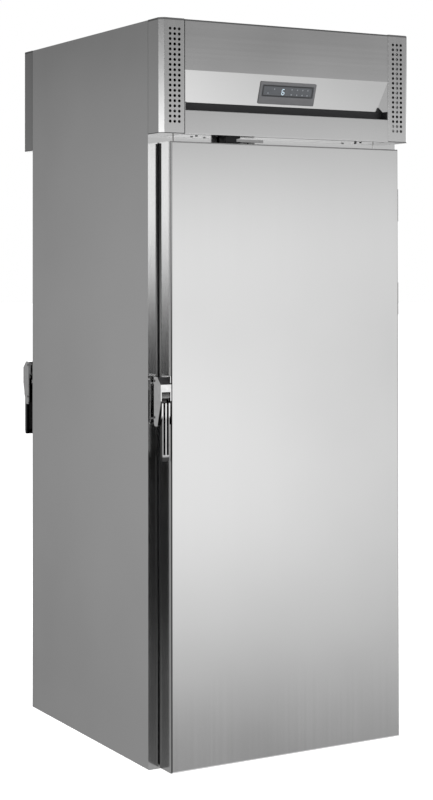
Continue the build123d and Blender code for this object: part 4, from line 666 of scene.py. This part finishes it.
# Latches: die-cast bodies and pull levers, polished and chromed, with the faint ripple and soft spots that
# polishing leaves. The strikes have the same finish, the strip of the door switch is dull spring steel.
def grey(tree, shader, source, *limits):
    """Let a number drive a grey base colour, mapped from two limits of it to two shades."""
    tone = joined(tree, "ShaderNodeMapRange", source, *limits).outputs[0]
    color = joined(tree, "ShaderNodeCombineColor", tone, tone, tone)
    tree.links.new(color.outputs[0], shader.inputs["Base Color"])


def cast_chrome(name, *bands):
    """Polished chromed casting, with painted shade in bands that are even about the middle planes."""
    material, tree, shader = plain_material(name, Metallic=1.0)
    place = object_place(tree)
    haze = joined(tree, "ShaderNodeTexNoise", place, None, 60.0, 4.0, 0.6)
    glossed(tree, shader, haze.outputs[0], 0.3, 0.7, 0.04, 0.12)
    grey(tree, shader, haze.outputs[0], 0.3, 0.7, 0.78, 0.68)
    ripple = joined(tree, "ShaderNodeTexNoise", place, None, 120.0, 1.0, 0.4)
    raised(tree, shader, ripple.outputs[0], 0.08, 0.0005)
    return darkened_along(material, *bands, even=True)


# Painted shade: the sloping top of each latch body, and on each lever its parts behind the front face, its
# lower grip, its hub and its lower end.
taper_painted_dark = ((0.0, 0.961, -0.2765), 0.1812, 0.1818, 1.0, 0.1)
lever_painted_shade = (
    (Y_WAY, 0.498, 0.5025, 0.08, 1.0), (Z_WAY, 1.045, 1.055, 0.6, 1.0), (Z_WAY, 1.096, 1.1, 1.0, 0.35),
    (Z_WAY, 0.932, 0.938, 0.1, 1.0),
)
finished(cast_chrome("chrome_cast"), "front_latch_pin", "rear_latch_pin", "strikes")
finished(cast_chrome("chrome_latch_body", taper_painted_dark), "front_latch_body", "rear_latch_body")
finished(cast_chrome("chrome_latch_lever", *lever_painted_shade), "front_latch_lever", "rear_latch_lever")
switch_steel = brushed_sheet("steel_switch_lever", level_grain, 0.42, 0.3, 0.05, 0.1)
finished(switch_steel, "door_switch_lever")

# Small parts of each latch: a black moulded cap let on to the sloping top of its body, two dark screws in
# the body's side and the spring that is wound round the lever's hub.
dark_steel = brushed_sheet("steel_dark_oxide", (900.0, 900.0, 900.0), 0.12, 0.35, 0.2, 0.2)
latch_side_x, latch_screw_y, latch_screw_levels = -449.5, -466.4, (1156.9, 1049.1)
screw_radius, screw_height = 4.0, 0.8
cap_size, cap_slope = (33.4, 29.6, 1.4), math.atan2(21.0, 23.0)
cap_place = Matrix.Translation((-432.0, -493.9, 1158.0)) @ Matrix.Rotation(cap_slope, 4, "X")
spring_steel = brushed_sheet("steel_spring", (900.0, 900.0, 900.0), 0.5, 0.25, 0.1, 0.1)
hub_middle = Vector((-432.0, -493.0, 1113.0))
wire_radius, ring_radius, ring_pitch = 0.9, 9.9, 2.3
across_hub = Matrix.Rotation(math.pi / 2.0, 4, "X")
for end, side in ENDS:
    form = bmesh.new()
    for level in latch_screw_levels:
        head = Matrix.Translation((latch_side_x, latch_screw_y, level)) @ Matrix.Rotation(math.pi / 2.0, 4, "Y")
        made = bmesh.ops.create_cone(
            form, cap_ends=True, segments=24, radius1=screw_radius, radius2=screw_radius, depth=screw_height,
            matrix=head,
        )["verts"]
        rim = [e for v in made for e in v.link_edges if abs((e.verts[0].co - e.verts[1].co).x) < 0.01]
        bevelled(form, list(set(rim)), 0.25)
    set_to_end(form, side)
    new_piece(end + "_latch_side_screws", form, end + "_door", dark_steel, "latch_chrome")
    form = bmesh.new()
    block(form, cap_size, cap_place)
    bevelled(form, form.edges[:], 0.5, 3)
    set_to_end(form, side)
    new_piece(end + "_latch_cap", form, end + "_door", black_plastic, "black_moulding")
    form = bmesh.new()
    for ring in range(-5, 6):
        top_of_ring = Matrix.Translation(hub_middle + Vector((ring_pitch * ring, 0.0, ring_radius)))
        wire = bmesh.ops.create_circle(
            form, segments=10, radius=wire_radius, matrix=top_of_ring @ across_hub,
        )["verts"]
        wire_edges = list({e for v in wire for e in v.link_edges})
        bmesh.ops.spin(
            form, geom=wire + wire_edges, cent=hub_middle, axis=(1.0, 0.0, 0.0), dvec=(0.0, 0.0, 0.0),
            angle=2.0 * math.pi, steps=36, use_merge=True,
        )
    set_to_end(form, side)
    new_piece(end + "_latch_spring", form, end + "_latch_lever", spring_steel, "latch_chrome")

# Cooling unit in the cabin's ceiling: an insulated cover with embossed aluminium faces, a pressed air panel
# and a drip tray.
cover_face, tree, shader = plain_material("aluminium_embossed", Metallic=0.9)
place = object_place(tree)
pebbles = joined(tree, "ShaderNodeTexVoronoi", place, None, 260.0, feature="SMOOTH_F1").outputs["Distance"]
glossed(tree, shader, pebbles, 0.0, 0.7, 0.3, 0.5)
grey(tree, shader, pebbles, 0.0, 0.7, 0.74, 0.62)
raised(tree, shader, pebbles, 0.5, 0.0012)
finished(cover_face, "cooler_cover")
finished(inner_level_steel, "air_panel", "drip_tray")

# Coils: thin aluminium fins on copper tubes. The return bends that join the tubes at both ends are copper.
fin_metal, tree, shader = plain_material("aluminium_fins", Metallic=1.0)
dents = joined(tree, "ShaderNodeTexNoise", object_place(tree), None, 45.0, 4.0, 0.65).outputs[0]
glossed(tree, shader, dents, 0.3, 0.7, 0.28, 0.5)
two_colored(tree, shader, dents, (0.35, (0.5, 0.51, 0.52)), (0.65, (0.72, 0.73, 0.74)))
raised(tree, shader, dents, 0.3, 0.001)
finished(fin_metal, "evaporator_coil", "condenser_coil")

copper, tree, shader = plain_material("copper_tube", Metallic=1.0)
tarnish = joined(tree, "ShaderNodeTexNoise", object_place(tree), None, 25.0, 4.0, 0.6).outputs[0]
two_colored(tree, shader, tarnish, (0.35, (0.36, 0.15, 0.08)), (0.6, (0.78, 0.42, 0.27)))
glossed(tree, shader, tarnish, 0.3, 0.7, 0.45, 0.2)
finished(copper, "refrigerant_pipes")
tube_radius = 4.6


def return_bend(form, start, end, outward):
    """Half a ring of tube from one tube end to the next, standing out the given way."""
    middle = (Vector(start) + Vector(end)) / 2.0
    across = (Vector(end) - Vector(start)).normalized()
    axis = across.cross(Vector(outward))
    section = Matrix.Translation(start) @ Vector(outward).to_track_quat("Z", "Y").to_matrix().to_4x4()
    ring = bmesh.ops.create_circle(form, segments=14, radius=tube_radius, matrix=section)["verts"]
    edges = list({e for v in ring for e in v.link_edges})
    bmesh.ops.spin(
        form, geom=ring + edges, cent=middle, axis=axis, dvec=(0.0, 0.0, 0.0), angle=-math.pi, steps=12,
        use_merge=False,
    )


evaporator_columns, evaporator_front = (40.0, 80.0), -8.0
evaporator_rows = [1965.0 + 33.75 * row for row in range(5)]
condenser_columns, condenser_left, condenser_right = (-381.5, -348.5), 61.0, 359.0
condenser_rows = [1972.6 + 34.1667 * row for row in range(6)]
form = bmesh.new()
for level in evaporator_rows:
    return_bend(form, *[(column, evaporator_front, level) for column in evaporator_columns], (0.0, -1.0, 0.0))
new_piece("evaporator_return_bends", form, "root", copper, "copper_tube")
form = bmesh.new()
condenser_ends = ((condenser_left, -1.0, condenser_rows[1:-1]), (condenser_right, 1.0, condenser_rows))
for x, outward, levels in condenser_ends:
    for level in levels:
        return_bend(form, *[(x, column, level) for column in condenser_columns], (outward, 0.0, 0.0))
new_piece("condenser_return_bends", form, "root", copper, "copper_tube")

# Fans and motors: grey-black moulded rotors on motors with a black stove enamel.
fan_plastic = moulded_material("plastic_fan_black", (0.022, 0.022, 0.023), 0.5, 0.4, 600.0)
enamel = moulded_material("enamel_black", (0.014, 0.014, 0.015), 0.3, 0.2, 220.0, 0.12, Coat_Weight=0.2)
finished(fan_plastic, "evaporator_fan", "condenser_fan")
finished(enamel, "evaporator_fan_motor", "condenser_fan_motor")

# Compressor: a welded steel shell in black enamel on four rubber mounts.
finished(enamel, "compressor")
mount_rubber = moulded_material("rubber_mount", (0.016, 0.016, 0.016), 0.75, 0.4, 700.0)
finished(mount_rubber, "compressor_mounts")

# Electric box: a grey moulded cover with a fine texture, and the cabin lamp's opal diffuser.
box_plastic = moulded_material("plastic_box_grey", (0.28, 0.29, 0.3), 0.5, 0.12)
finished(box_plastic, "electric_box")
lamp_opal, tree, shader = plain_material("plastic_opal", Coat_Weight=0.2)
ribs = joined(
    tree, "ShaderNodeTexWave", object_place(tree), 90.0, wave_type="BANDS", bands_direction="Y",
).outputs[1]
glossed(tree, shader, ribs, 0.0, 1.0, 0.22, 0.36)
grey(tree, shader, ribs, 0.0, 1.0, 0.74, 0.84)
raised(tree, shader, ribs, 0.4, 0.0008)
finished(lamp_opal, "cabin_lamp")
